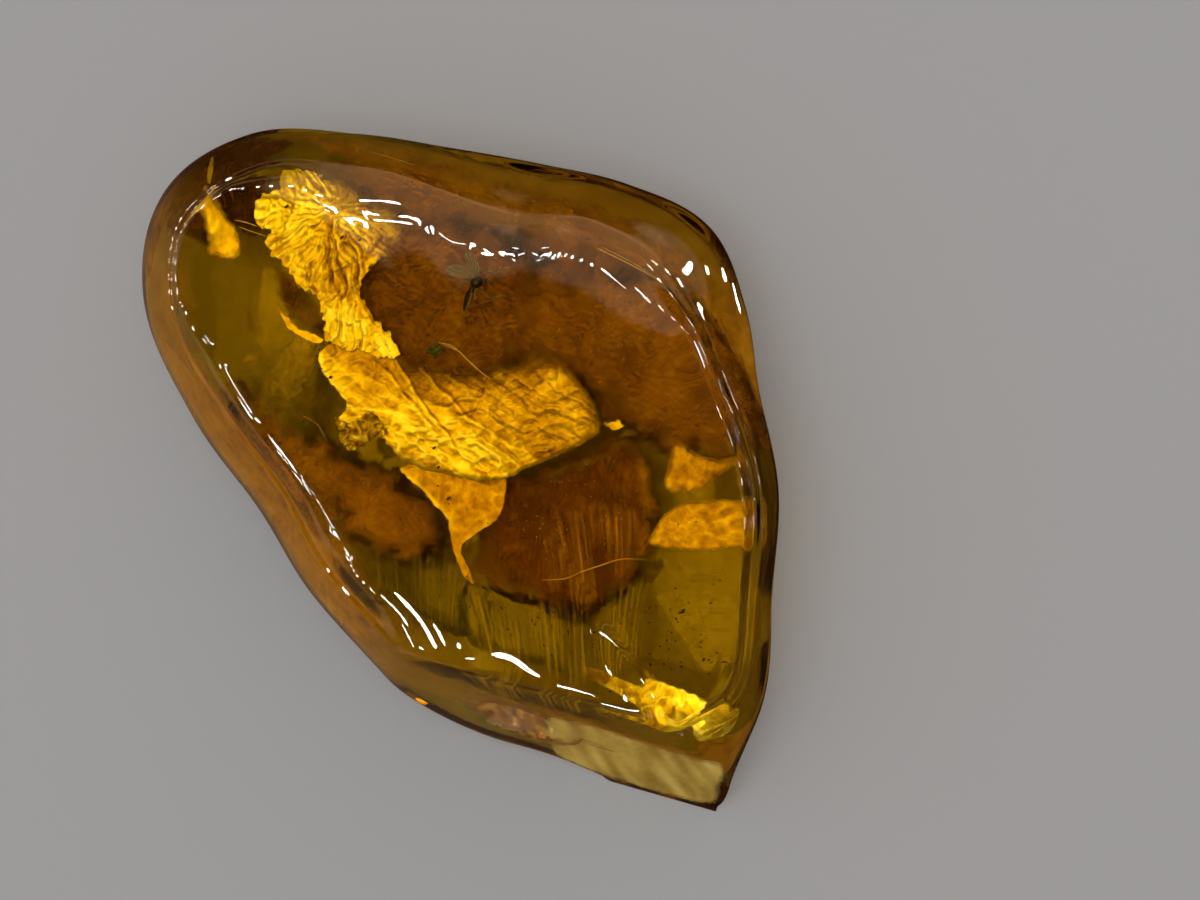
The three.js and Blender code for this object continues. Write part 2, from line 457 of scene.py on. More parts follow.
class Rods:
    """Gathers closed tubes and beads, given in millimetres, into one mesh."""

    def __init__(self):
        self.points, self.faces = [], []

    def band(self, low, sides):
        """Faces between the ring of points that starts at low and the ring after it."""
        for k in range(sides):
            after = (k + 1) % sides
            self.faces.append((low + k, low + after, low + sides + after, low + sides + k))

    def rod(self, stations, sides, per_span=5):
        """A tube on a smooth curve through (right, up, height, radius) stations, closed at both ends."""
        line = np.array([(*seen(x, y, z), r * MM) for x, y, z, r in stations])
        padded = np.concatenate([2 * line[:1] - line[1:2], line, 2 * line[-1:] - line[-2:-1]])
        rings = []
        for i in range(len(line) - 1):
            p0, p1, p2, p3 = padded[i:i + 4]
            for step in range(per_span + (i == len(line) - 2)):
                rings.append(hermite(step / per_span, p1, (p2 - p0) / 2, p2, (p3 - p1) / 2))
        first = len(self.points)
        side = None
        for i, ring in enumerate(rings):
            ahead = Vector(rings[min(i + 1, len(rings) - 1)][:3] - rings[max(i - 1, 0)][:3])
            ahead.normalize()
            if side is None:
                side = ahead.orthogonal()
            side = (side - ahead * side.dot(ahead)).normalized()
            other = ahead.cross(side)
            for k in range(sides):
                turn = 2 * math.pi * k / sides
                out = (side * math.cos(turn) + other * math.sin(turn)) * max(ring[3], LEAST_RADIUS)
                self.points.append(tuple(Vector(ring[:3]) + out))
        last = first + (len(rings) - 1) * sides
        for low in range(first, last, sides):
            self.band(low, sides)
        self.faces.append(tuple(first + k for k in reversed(range(sides))))
        self.faces.append(tuple(last + k for k in range(sides)))

    def bead(self, right, up, height, radii, turn=0.0, rows=8, sides=12):
        """An ellipsoid with radii along its length, across and upright, turned in degrees."""
        first = len(self.points)
        angle = math.radians(turn)
        along = (math.cos(angle), math.sin(angle))

        def put(a, b, c):
            x = right + a * along[0] - b * along[1]
            y = up + a * along[1] + b * along[0]
            self.points.append(tuple(seen(x, y, height + c)))

        put(-radii[0], 0, 0)
        for row in range(1, rows):
            lean = math.pi * row / rows
            ring = math.sin(lean)
            for k in range(sides):
                spin = 2 * math.pi * k / sides
                put(-radii[0] * math.cos(lean), radii[1] * ring * math.cos(spin),
                    radii[2] * ring * math.sin(spin))
        put(radii[0], 0, 0)
        last = len(self.points) - 1
        for k in range(sides):
            after = (k + 1) % sides
            self.faces.append((first, first + 1 + after, first + 1 + k))
            self.faces.append((last, last - sides + k, last - sides + after))
        for row in range(rows - 2):
            self.band(first + 1 + row * sides, sides)

    def build(self, name):
        """The piece, with its faces turned outwards."""
        mesh = bpy.data.meshes.new(name)
        mesh.from_pydata(self.points, [], self.faces)
        shell = bmesh.new()
        shell.from_mesh(mesh)
        bmesh.ops.recalc_face_normals(shell, faces=shell.faces)
        shell.to_mesh(mesh)
        shell.free()
        return new_piece(name, mesh)


# ------------------------------------------------------------------------------ nodes


def set_inputs(tree, node, inputs):
    """Gives a node's inputs their values, or links them to other nodes' outputs."""
    for socket, value in inputs.items():
        if isinstance(value, bpy.types.NodeSocket):
            tree.links.new(value, node.inputs[socket])
        else:
            node.inputs[socket].default_value = value


def add_node(tree, kind, inputs=None, **settings):
    """A new node of a kind, with its settings and its inputs."""
    node = tree.nodes.new(kind)
    for setting, value in settings.items():
        setattr(node, setting, value)
    set_inputs(tree, node, inputs or {})
    return node


def maths(tree, operation, *values, clamp=False):
    """The result of one operation on numbers or other nodes' outputs."""
    node = add_node(tree, "ShaderNodeMath", dict(enumerate(values)), operation=operation, use_clamp=clamp)
    return node.outputs["Value"]


def add_sockets(tree, way, labels, kind="Float"):
    """Named inputs or outputs of a node group, all of one kind."""
    for label in labels:
        tree.interface.new_socket(label, in_out=way, socket_type="NodeSocket" + kind)


# ------------------------------------------------------------------------------ scattered grains


def scatter_tree():
    """Geometry Nodes: grains strewn over the faces of a patch, in a random size and turn."""
    tree = bpy.data.node_groups.new("strewn_grains", "GeometryNodeTree")
    add_sockets(tree, "INPUT", ["Geometry"], "Geometry")
    add_sockets(tree, "INPUT", ["Count per square metre", "Smallest", "Largest", "Flatness", "Rise"])
    add_sockets(tree, "INPUT", ["Seed", "Facets"], "Int")
    add_sockets(tree, "INPUT", ["Material"], "Material")
    add_sockets(tree, "OUTPUT", ["Geometry"], "Geometry")
    given = add_node(tree, "NodeGroupInput").outputs
    scattered = add_node(tree, "GeometryNodeDistributePointsOnFaces", {
        "Mesh": given["Geometry"], "Density": given["Count per square metre"], "Seed": given["Seed"],
    })
    ball = add_node(tree, "GeometryNodeMeshIcoSphere", {"Radius": 1.0, "Subdivisions": given["Facets"]})
    random_size = add_node(tree, "FunctionNodeRandomValue", {
        2: given["Smallest"], 3: given["Largest"], "Seed": given["Seed"],
    })
    size = random_size.outputs[1]
    flat = maths(tree, "MULTIPLY", size, given["Flatness"])
    shape = add_node(tree, "ShaderNodeCombineXYZ", {"X": size, "Y": flat, "Z": flat})
    full_turns = (2 * math.pi, 2 * math.pi, 2 * math.pi)
    turn = add_node(tree, "FunctionNodeRandomValue", {1: full_turns}, data_type="FLOAT_VECTOR")
    lift = add_node(tree, "FunctionNodeRandomValue", {"Seed": 5})
    up = add_node(tree, "ShaderNodeCombineXYZ", {
        "Z": maths(tree, "MULTIPLY", lift.outputs[1], given["Rise"]),
    })
    raised = add_node(tree, "GeometryNodeSetPosition", {
        "Geometry": scattered.outputs["Points"], "Offset": up.outputs["Vector"],
    })
    place = add_node(tree, "GeometryNodeInstanceOnPoints", {
        "Points": raised.outputs["Geometry"], "Instance": ball.outputs["Mesh"],
        "Rotation": turn.outputs[0], "Scale": shape.outputs["Vector"],
    })
    real = add_node(tree, "GeometryNodeRealizeInstances", {"Geometry": place.outputs["Instances"]})
    finish = add_node(tree, "GeometryNodeSetMaterial", {
        "Geometry": real.outputs["Geometry"], "Material": given["Material"],
    })
    add_node(tree, "NodeGroupOutput", {"Geometry": finish.outputs["Geometry"]})
    return tree


def strew(name, patch, height, material, density, smallest, largest, flatness, rise, seed, facets):
    """Grains strewn over a patch: (right, up) corners in mm at a height in mm. Returns the piece.

    density is in grains for each square metre, and the sizes and the rise are in mm.
    """
    tree = bpy.data.node_groups.get("strewn_grains") or scatter_tree()
    mesh = bpy.data.meshes.new(name)
    mesh.from_pydata([tuple(seen(x, y, height)) for x, y in patch], [], [tuple(range(len(patch)))])
    source = bpy.data.objects.new(name, mesh)
    SCENE.collection.objects.link(source)
    strewing = source.modifiers.new("grains", "NODES")
    strewing.node_group = tree
    values = {
        "Count per square metre": density, "Smallest": smallest * MM, "Largest": largest * MM,
        "Flatness": flatness, "Rise": rise * MM, "Seed": seed, "Facets": facets, "Material": material,
    }
    for item in tree.interface.items_tree:
        if item.in_out == "INPUT" and item.name in values:
            strewing[item.identifier] = values[item.name]
    depsgraph = bpy.context.evaluated_depsgraph_get()
    grains = bpy.data.meshes.new_from_object(source.evaluated_get(depsgraph))
    source.modifiers.clear()
    source.data = grains
    return source


# ------------------------------------------------------------------------------ outlines

# (right, up) corners in millimetres
FAN = [
    (-12.1, 9.9), (-11.4, 9.2), (-11.5, 8.5), (-11.2, 7.9), (-10.4, 7.3), (-9.8, 6.5), (-8.9, 5.8),
    (-8.5, 4.9), (-8.4, 4.0), (-7.1, 3.5), (-6.0, 3.2), (-5.0, 3.0), (-4.7, 3.5), (-5.7, 4.7),
    (-6.6, 5.7), (-6.7, 6.6), (-6.3, 7.3), (-5.4, 7.7), (-4.7, 8.7), (-5.5, 9.9), (-7.2, 10.6),
    (-8.5, 11.0), (-10.4, 11.4), (-11.2, 10.9),
]
SCROLL = [
    (-8.6, 3.5), (-8.7, 2.9), (-7.9, 1.9), (-7.4, 1.0), (-7.8, 0.3), (-7.3, -0.3), (-6.6, -0.8),
    (-6.0, -0.5), (-5.3, -0.9), (-4.6, -1.6), (-2.9, -2.3), (0.0, -2.6), (2.2, -1.7), (4.3, -0.8),
    (4.6, 0.0), (4.3, 1.0), (3.4, 2.3), (2.2, 3.4), (0.4, 3.0), (-1.4, 2.6), (-3.4, 2.9),
    (-5.2, 3.5), (-7.6, 4.0),
]
TONGUE = [
    (-4.9, -1.9), (-3.9, -3.0), (-3.3, -3.7), (-2.7, -4.4), (-2.5, -5.6), (-1.9, -6.9),
    (-1.3, -7.3), (-1.6, -6.4), (-1.9, -5.6), (-1.2, -5.0), (-0.2, -4.4), (0.1, -3.5), (0.0, -2.2),
    (-2.4, -1.7),
]
WEDGE = [(-14.6, 10.9), (-13.6, 10.1), (-12.8, 8.1), (-14.6, 8.2), (-14.5, 9.1)]
CORNER_CRACK = [(-14.9, 12.7), (-14.7, 12.7), (-14.2, 11.0), (-14.4, 10.9), (-14.7, 11.6)]
RIGHT_UPPER = [
    (8.0, -1.0), (9.2, -1.4), (10.3, -2.0), (9.9, -2.7), (9.2, -3.3), (7.7, -3.2), (7.6, -2.1),
]
RIGHT_LOWER = [
    (7.7, -4.0), (9.0, -3.6), (10.6, -3.7), (11.0, -5.4), (9.7, -6.0), (6.9, -5.8), (7.1, -4.8),
]
END_STRIP = [
    (4.2, -11.1), (6.0, -11.5), (8.0, -12.0), (9.6, -12.5), (10.7, -13.0), (10.9, -13.9), (10.3, -14.6),
    (9.2, -14.6), (8.8, -14.0), (8.0, -13.4), (6.6, -12.8), (5.2, -12.2), (4.2, -11.6),
]
CHIP_FLAKE = [(4.7, -0.1), (5.3, 0.1), (5.8, -0.2), (5.2, -0.5)]
SICKLE = [
    (-11.0, 5.9), (-10.8, 5.5), (-10.3, 5.0), (-9.8, 4.6), (-9.2, 4.3), (-8.7, 4.1), (-9.0, 4.0),
    (-9.8, 4.2), (-10.6, 4.8),
]
CLOUD_UPPER = [
    (-7.9, 8.4), (-5.6, 9.6), (-2.6, 9.0), (-0.2, 8.2), (1.4, 6.9), (1.8, 5.5), (1.2, 3.6),
    (-0.2, 2.0), (-2.1, 1.4), (-4.4, 1.8), (-6.2, 3.6), (-7.4, 5.6),
]
CLOUD_RIGHT = [
    (-0.8, 7.4), (2.5, 7.2), (4.8, 6.8), (7.6, 5.6), (9.6, 3.4), (10.4, 0.8), (10.2, -1.8),
    (8.9, -2.0), (7.0, -1.4), (5.2, -0.4), (4.0, 0.8), (2.4, 1.8), (0.5, 2.0), (-1.2, 3.6),
]
DISC = [
    (-1.0, -2.4), (1.2, -2.2), (2.7, -1.5), (4.3, -0.7), (5.9, -0.6), (6.9, -2.3), (7.1, -4.6),
    (6.6, -6.7), (5.4, -8.2), (3.6, -8.6), (1.4, -8.3), (-0.8, -7.6), (-2.0, -6.6), (-1.8, -5.2),
]
CLOUD_LEFT = [
    (-14.7, 2.6), (-12.2, 2.5), (-11.0, 1.5), (-9.5, 0.2), (-7.6, -1.1), (-5.0, -2.2), (-3.0, -4.2),
    (-3.0, -5.6), (-5.0, -6.3), (-6.8, -5.8), (-8.6, -3.9), (-10.6, -1.9), (-12.8, 0.3),
]
CLOUD_CORNER = [
    (-16.4, 9.8), (-16.6, 12.2), (-15.0, 13.2), (-12.7, 13.2), (-11.0, 12.2), (-12.0, 10.6),
    (-12.6, 9.0), (-13.6, 9.4), (-14.6, 8.6), (-15.8, 9.0),
]
CLOUD_SICKLE = [
    (-11.3, 7.6), (-10.5, 7.3), (-9.6, 6.5), (-8.9, 5.8), (-8.6, 4.5), (-9.6, 4.5), (-10.6, 5.4),
    (-11.2, 6.4),
]
STRIAE_DISC = [(1.6, -4.2), (4.0, -3.7), (6.5, -4.0), (6.6, -6.4), (4.6, -8.8), (2.2, -8.4)]
STRIAE_LOWER = [(-2.0, -7.4), (2.6, -7.9), (6.8, -7.0), (6.6, -11.6), (2.2, -12.2), (-1.4, -10.8)]
STRIAE_LEFT = [(-7.0, -5.6), (-4.6, -5.8), (-2.4, -5.4), (-1.6, -8.6), (-2.4, -10.4), (-5.4, -9.4)]
SPARKLE = [
    (-7.9, 0.5), (-7.2, 0.2), (-6.4, 0.6), (-5.7, 0.4), (-5.5, -0.3), (-6.2, -0.6), (-6.9, -1.1),
    (-7.6, -0.7),
]
OLIVE_WHOLE = [
    (-15.5, 8.6), (-13.8, 11.6), (-9.6, 12.4), (-2.0, 10.6), (5.6, 8.8), (9.6, 3.4), (11.0, -5.0),
    (10.8, -13.6), (3.4, -11.6), (-2.6, -9.8), (-7.0, -5.8), (-11.6, 1.4), (-14.6, 4.6),
]
FACET_HAZE = [
    (2.2, -13.9), (4.6, -14.3), (7.6, -15.2), (10.4, -16.2), (10.2, -17.6), (9.4, -19.3), (6.5, -18.9),
    (3.6, -18.0), (1.6, -16.9), (1.4, -15.2),
]
CLOUD_TOP = [
    (-11.6, 13.4), (-9.0, 13.2), (-4.0, 11.9), (2.0, 10.2), (6.4, 8.6), (9.2, 5.8), (6.6, 5.4),
    (2.0, 6.6), (-2.0, 8.0), (-4.6, 8.0), (-6.4, 8.8), (-8.6, 10.4),
]
CHIP_CRUST = [
    (-3.4, -13.4), (-1.6, -12.9), (0.6, -13.1), (2.0, -13.8), (2.2, -15.2), (3.4, -16.6), (5.4, -18.2),
    (3.4, -17.8), (1.0, -16.8), (-1.2, -15.8), (-3.0, -14.6),
]
HAZE_LEFT = [
    (-11.2, 5.0), (-9.4, 5.2), (-8.0, 4.2), (-8.0, 1.8), (-8.8, -0.6), (-10.6, -0.6), (-12.4, 0.8),
    (-12.6, 3.4),
]
BREAK_FLOW = [
    (-1.6, -12.2), (1.4, -12.4), (3.6, -13.4), (4.9, -15.4), (5.0, -16.3), (3.6, -15.9), (2.4, -15.2),
    (1.4, -13.9), (0.0, -13.7), (-1.6, -13.9),
]


# ------------------------------------------------------------------------------ shapes of the sheets


def fan_shape(spots, rim):
    """The large upper flake: two fans of feathers with painted shade in their grooves, fine hairs, creases
    darkened with painted shade, and a veiled right side.
    """
    right, up = spots.T
    split = fade(up + 0.4 * (right + 8), 5.2, 6.9)
    warped = drifting(spots, 0.22, 1.3, 21.0, 22.0)
    plumes = feathers(warped, (-8.5, 9.4), 52, 1.05, 3.1) * split
    plumes += feathers(warped, (-7.1, 6.9), 46, 0.9, 4.4) * (1 - split)
    hairs = rays(warped, (-8.4, 9.8), 15, 5.0) * split
    hairs += rays(warped, (-7.1, 7.4), 14, 6.0) * (1 - split)
    grain = layered(warped, (3.2, 12.0, 1), (6.5, 13.0, 0.8))
    veil = fade(right + 0.55 * up, -2.7, -0.6)
    away = fade(np.hypot(right + 8.4, up - 9.6), 0.3, 1.6)
    tone = 0.57 + 0.09 * plumes * (1 - 0.6 * veil) * away + 0.22 * hairs * (0.4 + 0.6 * away)
    tone += 0.2 * grain + 0.2 * noise_at(spots, 0.8, 6.0)
    for spot, reach, strength in (
        ((-10.8, 9.7), 1.5, 0.16), ((-9.9, 8.2), 1.1, 0.08), ((-8.3, 7.0), 1.2, -0.12),
        ((-8.0, 4.9), 0.8, 0.38), ((-7.4, 4.1), 0.6, 0.2), ((-5.3, 3.5), 0.5, 0.35),
    ):
        tone += strength * near_spot(spots, spot, reach)
    tone += 0.28 * near_line(spots, [(-7.2, 5.4), (-6.4, 4.3), (-5.2, 3.5)], 0.28)
    # Painted shade: the creases are darkened along these lines.
    for line, width in (
        ([(-8.5, 9.3), (-7.9, 7.6), (-7.4, 6.0), (-6.7, 4.9)], 0.11),
        ([(-8.4, 9.3), (-7.3, 8.2), (-6.6, 6.8), (-6.4, 5.6)], 0.12),
        ([(-8.6, 9.2), (-8.5, 7.9), (-8.1, 6.6), (-7.7, 5.9)], 0.09),
        ([(-7.2, 6.9), (-6.8, 5.9), (-6.0, 4.7)], 0.09),
        ([(-9.3, 7.6), (-9.4, 6.9), (-8.9, 6.2)], 0.12),
        ([(-6.0, 8.5), (-6.7, 7.6), (-7.1, 6.7)], 0.1),
    ):
        tone -= 0.42 * near_line(spots + 0.12 * hairs[:, None], line, width)
    tone -= 0.16 * veil
    cover = fade(rim, 0.0, 0.07 + 0.9 * veil) * (1 - 0.5 * veil)
    level = 7.3 + 0.12 * noise_at(spots, 0.5, 8.2)
    return level + 0.012 * plumes * away + 0.016 * hairs + 0.018 * grain, tone, cover


def scroll_shape(spots, rim):
    """The broad middle flake: crumpled and streaky, with painted highlights and painted shade along its
    folds, a curled lower edge with a painted highlight on its lip and painted shade just inside it, and a
    veiled upper one.
    """
    right, up = spots.T
    plateau = near_spot(spots, (-6.0, 2.3), 1.7)
    streaky = fade(up + 0.5 * (right + 3), 1.6, -0.2)
    lobe = fade(right, -0.5, 2.0)
    creases = crumple(spots, 3.2, 4.5, 9.0, -36) - 0.4
    wrinkles = crumple(spots, 1.7, 7.7, 2.2, 5) - 0.35
    fine = crumple(spots, 4.6, 2.7, 5.0, 22) - 0.4
    mottle = layered(spots, (0.7, 3.0, 1), (2.6, 9.0, 0.7), (6.0, 1.0, 0.5))
    smooth = 1 - 0.8 * plateau
    tone = 0.42 + 0.17 * mottle + 0.24 * streaky * (1 - 0.6 * lobe) - 0.22 * plateau - 0.06 * lobe
    tone += (0.2 + 0.28 * streaky) * creases * smooth * (1 - 0.5 * lobe)
    tone += (0.06 + 0.26 * streaky * (1 - 0.5 * lobe)) * wrinkles * smooth
    tone += (0.1 + 0.1 * lobe * streaky) * fine * smooth
    # Painted light and shade: each fold line is brightened as a lit crest, with a darkened groove just
    # beside it.
    for line, strength in (
        ([(-5.0, 3.0), (-4.4, 1.9), (-3.6, 0.7), (-2.6, -0.5), (-2.1, -1.2)], 1.0),
        ([(-4.2, 3.0), (-3.2, 1.9), (-2.2, 0.9), (-1.3, 0.1)], 0.8),
        ([(-5.6, 2.6), (-4.6, 1.4), (-3.6, 0.2), (-2.9, -0.6)], 0.7),
        ([(-0.7, 2.2), (-1.0, 1.3), (-1.4, 0.5), (-2.1, -0.4), (-2.4, -0.8)], 0.45),
        ([(-3.4, 2.9), (-2.2, 1.9), (-0.9, 1.3)], 0.4),
    ):
        swayed = spots + 0.08 * noise_at(spots, 1.5, 6.0)[:, None]
        beside = [(x + 0.1, y + 0.09) for x, y in line]
        lit_crest, shaded_groove = near_line(swayed, line, 0.06), near_line(swayed, beside, 0.06)
        tone += strength * (0.4 * lit_crest - 0.5 * shaded_groove)
    tone += 0.5 * near_line(spots, [(-7.4, 0.9), (-6.6, 0.85), (-5.6, 0.7), (-4.3, 0.4)], 0.06)
    tone += 0.5 * near_line(spots, [(-8.6, 3.4), (-8.6, 2.9), (-7.8, 1.8), (-7.3, 1.0)], 0.1)
    for spot, reach, strength in (
        ((2.4, 2.0), 0.5, 0.25), ((3.4, -0.1), 0.9, 0.16),
        ((-3.6, -1.3), 0.9, 0.3), ((-1.2, -1.4), 0.8, 0.25),
    ):
        tone += strength * near_spot(spots, spot, reach)
    # The curled lower edge is raised, and given a painted highlight on its lip and a band of painted shade
    # just inside it.
    lower = fade(-up, 0.4, 1.6)
    lit_curl = np.exp(-rim / 0.12) * lower
    tone += 0.6 * lit_curl - 0.34 * np.exp(-((rim - 0.36) / 0.12) ** 2) * lower
    upper = fade(up - 0.12 * np.abs(right + 2), 0.7, 2.9) * fade(right, -5.6, -4.2)
    edge = fade(right, 2.6, 4.2)
    tone -= 0.22 * upper
    cover = fade(rim, 0.0, 0.05 + 1.7 * upper + 0.7 * edge) * (1 - 0.4 * upper)
    level = 6.9 + 0.04 * up + 0.12 * noise_at(spots, 0.4, 2.2)
    return level + 0.15 * lit_curl + 0.03 * wrinkles * smooth + 0.02 * creases + 0.01 * fine, tone, cover


def sparkle_shape(spots, rim):
    """A small crushed flake full of painted glints: bright spots painted into its tone, which also lift its
    surface a little.
    """
    facets = crumple(spots, 2.4, 1.0, 1.4, 30)
    # Painted glints: noise brightens the tone in spots.
    painted_glints = np.clip(2.2 * noise_at(spots, 3.2, 5.0), -1, 1)
    return 7.15 + 0.12 * facets + 0.05 * painted_glints, 0.5 + 0.3 * facets + 0.45 * painted_glints, fade(rim, 0, 0.08)


def plain_flake(level, tone, seed, soft=0.05, edge=(), slope=0.0, hinge=0.0):
    """A smooth crack face with a base tone and a bright edge line.

    It rises by slope mm for each mm to the right of hinge.
    """
    def shape(spots, rim):
        height = level + slope * (spots[:, 0] - hinge)
        grain = layered(spots, (0.9, seed, 1), (3.4, seed + 2, 0.6))
        tones = tone + 0.17 * grain + 0.14 * crumple(spots, 1.5, seed + 4)
        tones += 0.5 * near_line(spots, edge, 0.18)
        return height + 0.03 * grain, tones, fade(rim, 0, soft)
    return shape


def strip_shape(spots, rim):
    """The long rippled flake under the broken end, thinning out to its left."""
    right = spots[:, 0]
    ripples = crumple(spots, 1.9, 3.0, 2.0, 40) - 0.4
    fine = crumple(spots, 4.5, 4.0, 2.0, 100) - 0.4
    tone = 0.3 + 0.35 * fade(right, 5.5, 9.0) + 0.35 * ripples + 0.25 * fine
    tone += 0.2 * noise_at(spots, 1.5, 2.0) + 0.35 * np.exp(-rim / 0.1)
    cover = fade(rim, 0.0, 0.15) * (0.35 + 0.65 * fade(right, 4.6, 6.6))
    return 7.4 + 0.05 * ripples + 0.05 * noise_at(spots, 0.8, 1.0), tone, cover


def cloud_shape(level, seed, solid, soft, tone, veins, lean, bright=()):
    """A cloud of dark flow: how solid it is at most, and how far in its soft border reaches.

    Its threads run along lean degrees, and bright is a line of lighter resin.
    """
    def shape(spots, rim):
        blotches = layered(spots, (0.6, seed, 1), (1.7, seed + 1, 0.7))
        swirl = drifting(spots, 0.5, 0.7, seed + 5, seed + 6)
        threads = noise_at(swirl, 7.5, seed + 2, 4.0, lean)
        fine = noise_at(swirl, 9.0, seed + 4, 2.5, lean + 50)
        strokes = np.maximum(0.8 * threads, -0.25) + np.maximum(0.7 * fine, -0.25)
        tones = tone + 0.12 * blotches + veins * strokes + 0.4 * near_line(spots, bright, 0.3)
        patchy = np.clip(0.9 + 0.35 * noise_at(spots, 0.5, seed + 7) + 0.1 * threads, 0, 1)
        border = rim + 0.45 * soft * noise_at(spots, 1.2, seed + 9)
        return level + 0.25 * noise_at(spots, 0.35, seed), tones, solid * patchy * fade(border, 0, soft)
    return shape


def striae_shape(level, tone, solid, lean, seed):
    """Fine lines side by side, drawn out along lean degrees and slightly fanned."""
    def shape(spots, rim):
        away = spots - spots.mean(0)
        fanned = np.stack([away[:, 0] * (1 - 0.05 * away[:, 1]), away[:, 1]], 1)
        lines = np.clip(0.25 + 1.5 * noise_at(fanned, 5.5, seed, 40, lean), 0, 1)
        hairs = np.clip(0.2 + 1.4 * noise_at(fanned, 11.0, seed + 1, 50, lean + 2), 0, 1)
        groups = np.clip(0.55 + 1.2 * noise_at(fanned, 0.9, seed + 2, 4, lean), 0, 1)
        soft = fade(rim + 0.5 * noise_at(spots, 1.2, seed + 3), 0, 1.3)
        cover = solid * soft * groups * np.maximum(lines, hairs)
        return level + 0.1 * noise_at(spots, 0.5, seed), tone + 0.3 * lines + 0.2 * hairs, cover
    return shape


def olive_shape(spots, rim):
    """Faint darker mottling all through the clear part."""
    patches = layered(spots, (0.7, 1.0, 1), (1.9, 2.0, 0.7), (4.5, 3.0, 0.5))
    cover = 0.16 * np.clip(0.3 + patches, 0, 1) * fade(rim, 0, 2)
    return 3.2 + 0.3 * noise_at(spots, 0.3, 4.0), 0.42 + 0.25 * patches, cover


def haze_left_shape(spots, rim):
    """Yellow-green murk beside the scroll, brighter towards it."""
    murk = layered(spots, (1.1, 7.0, 1), (3.0, 8.0, 0.6), (7.0, 9.0, 0.4))
    bright = near_spot(spots, (-9.8, 3.9), 1.1) + 0.6 * near_spot(spots, (-10.6, 2.2), 1.3)
    cover = (0.4 + 0.4 * bright) * fade(rim + 0.4 * murk, 0, 1.7)
    return 5.4 + 0.2 * murk, 0.35 + 0.2 * murk + 0.5 * bright, cover


def facet_haze_shape(spots, rim):
    """The pale skin of the broken facet, with shell-like ripples, half a millimetre under its face; its
    paleness is partly this skin and partly painted light, standing in for the bright floor and the light
    seen through the thin broken end.
    """
    along = spots @ viewed(*FACET_NORMAL[:2])
    level = np.clip((FACET_DISTANCE - 0.5 - along) / FACET_NORMAL[2], 0.3, 8)
    ripples = np.clip(1.5 * noise_at(spots, 1.5, 3.0, 3.0, 112), -1, 1)
    tone = 0.5 + 0.3 * ripples + 0.15 * noise_at(spots, 4.0, 5.0)
    return level, tone, (0.75 + 0.2 * ripples) * fade(rim, 0, 0.4)


def chip_shape(spots, rim):
    """Chalky crust just under the scooped chip."""
    away_sq = ((spots - viewed(*CHIP_CENTRE[:2])) ** 2).sum(1)
    level = CHIP_CENTRE[2] - np.sqrt(np.maximum((CHIP_RADIUS + 0.3) ** 2 - away_sq, 0))
    grain = layered(spots, (2.0, 3.0, 1), (5.0, 4.0, 0.7), (9.0, 5.0, 0.5))
    return level, 0.45 + 0.6 * grain, np.clip(0.6 + 0.4 * grain, 0, 1) * fade(rim, 0, 1.2)


# ------------------------------------------------------------------------------ materials


def new_material(name):
    """A new material, its node tree and its Principled shader."""
    material = bpy.data.materials.new(name)
    material.use_nodes = True
    return material, material.node_tree, material.node_tree.nodes["Principled BSDF"]


def mottle_group():
    """Shader group: two-scale mottling from Object coordinates, for colour, alpha and bump."""
    group = bpy.data.node_groups.new("mottle", "ShaderNodeTree")
    add_sockets(group, "INPUT", ["Coarse", "Fine", "Bias", "Contrast"])
    add_sockets(group, "OUTPUT", ["Mask", "Grain", "Creases"])
    given = add_node(group, "NodeGroupInput").outputs
    place = add_node(group, "ShaderNodeTexCoord").outputs["Object"]
    ridged = add_node(group, "ShaderNodeTexNoise", {
        "Vector": place, "Scale": given["Coarse"], "Detail": 3, "Distortion": 1.2,
    }, noise_type="RIDGED_MULTIFRACTAL")
    crests = add_node(group, "ShaderNodeMapRange", {
        "Value": ridged.outputs["Fac"], "From Min": 0.3, "From Max": 1.7,
    })
    coarse, fine = (
        add_node(group, "ShaderNodeTexNoise", {
            "Vector": place, "Scale": given[label], "Detail": detail, "Distortion": 0.6,
        }).outputs["Fac"]
        for label, detail in (("Coarse", 4), ("Fine", 3))
    )
    blend = add_node(group, "ShaderNodeMix", {"Factor": 0.3, "A": coarse, "B": fine})
    centred = maths(group, "SUBTRACT", blend.outputs["Result"], 0.5)
    mask = maths(group, "MULTIPLY_ADD", centred, given["Contrast"], given["Bias"], clamp=True)
    add_node(group, "NodeGroupOutput", {"Mask": mask, "Grain": fine, "Creases": crests.outputs["Result"]})
    return group


def place_mottle(tree, coarse, fine, bias=0.5, contrast=3.0):
    """The mottling's outputs in a material, with its finenesses per metre."""
    node = add_node(tree, "ShaderNodeGroup", node_tree=bpy.data.node_groups.get("mottle") or mottle_group())
    set_inputs(tree, node, {"Coarse": coarse, "Fine": fine, "Bias": bias, "Contrast": contrast})
    return node.outputs


def mixed_colour(tree, mask, dark, light):
    """Dark where the mask is 0 and light where it is 1."""
    mix = add_node(tree, "ShaderNodeMix", {
        "Factor": mask, "A": (*dark, 1), "B": (*light, 1),
    }, data_type="RGBA")
    return mix.outputs["Result"]


def bumped(tree, height, strength, distance):
    """A normal bent by a height, with the greatest relief in mm."""
    bump = add_node(tree, "ShaderNodeBump", {
        "Height": height, "Strength": strength, "Distance": distance * MM,
    })
    return bump.outputs["Normal"]


def point_value(tree, label):
    """The number that each point of the piece carries under a label."""
    return add_node(tree, "ShaderNodeAttribute", attribute_name=label).outputs["Fac"]


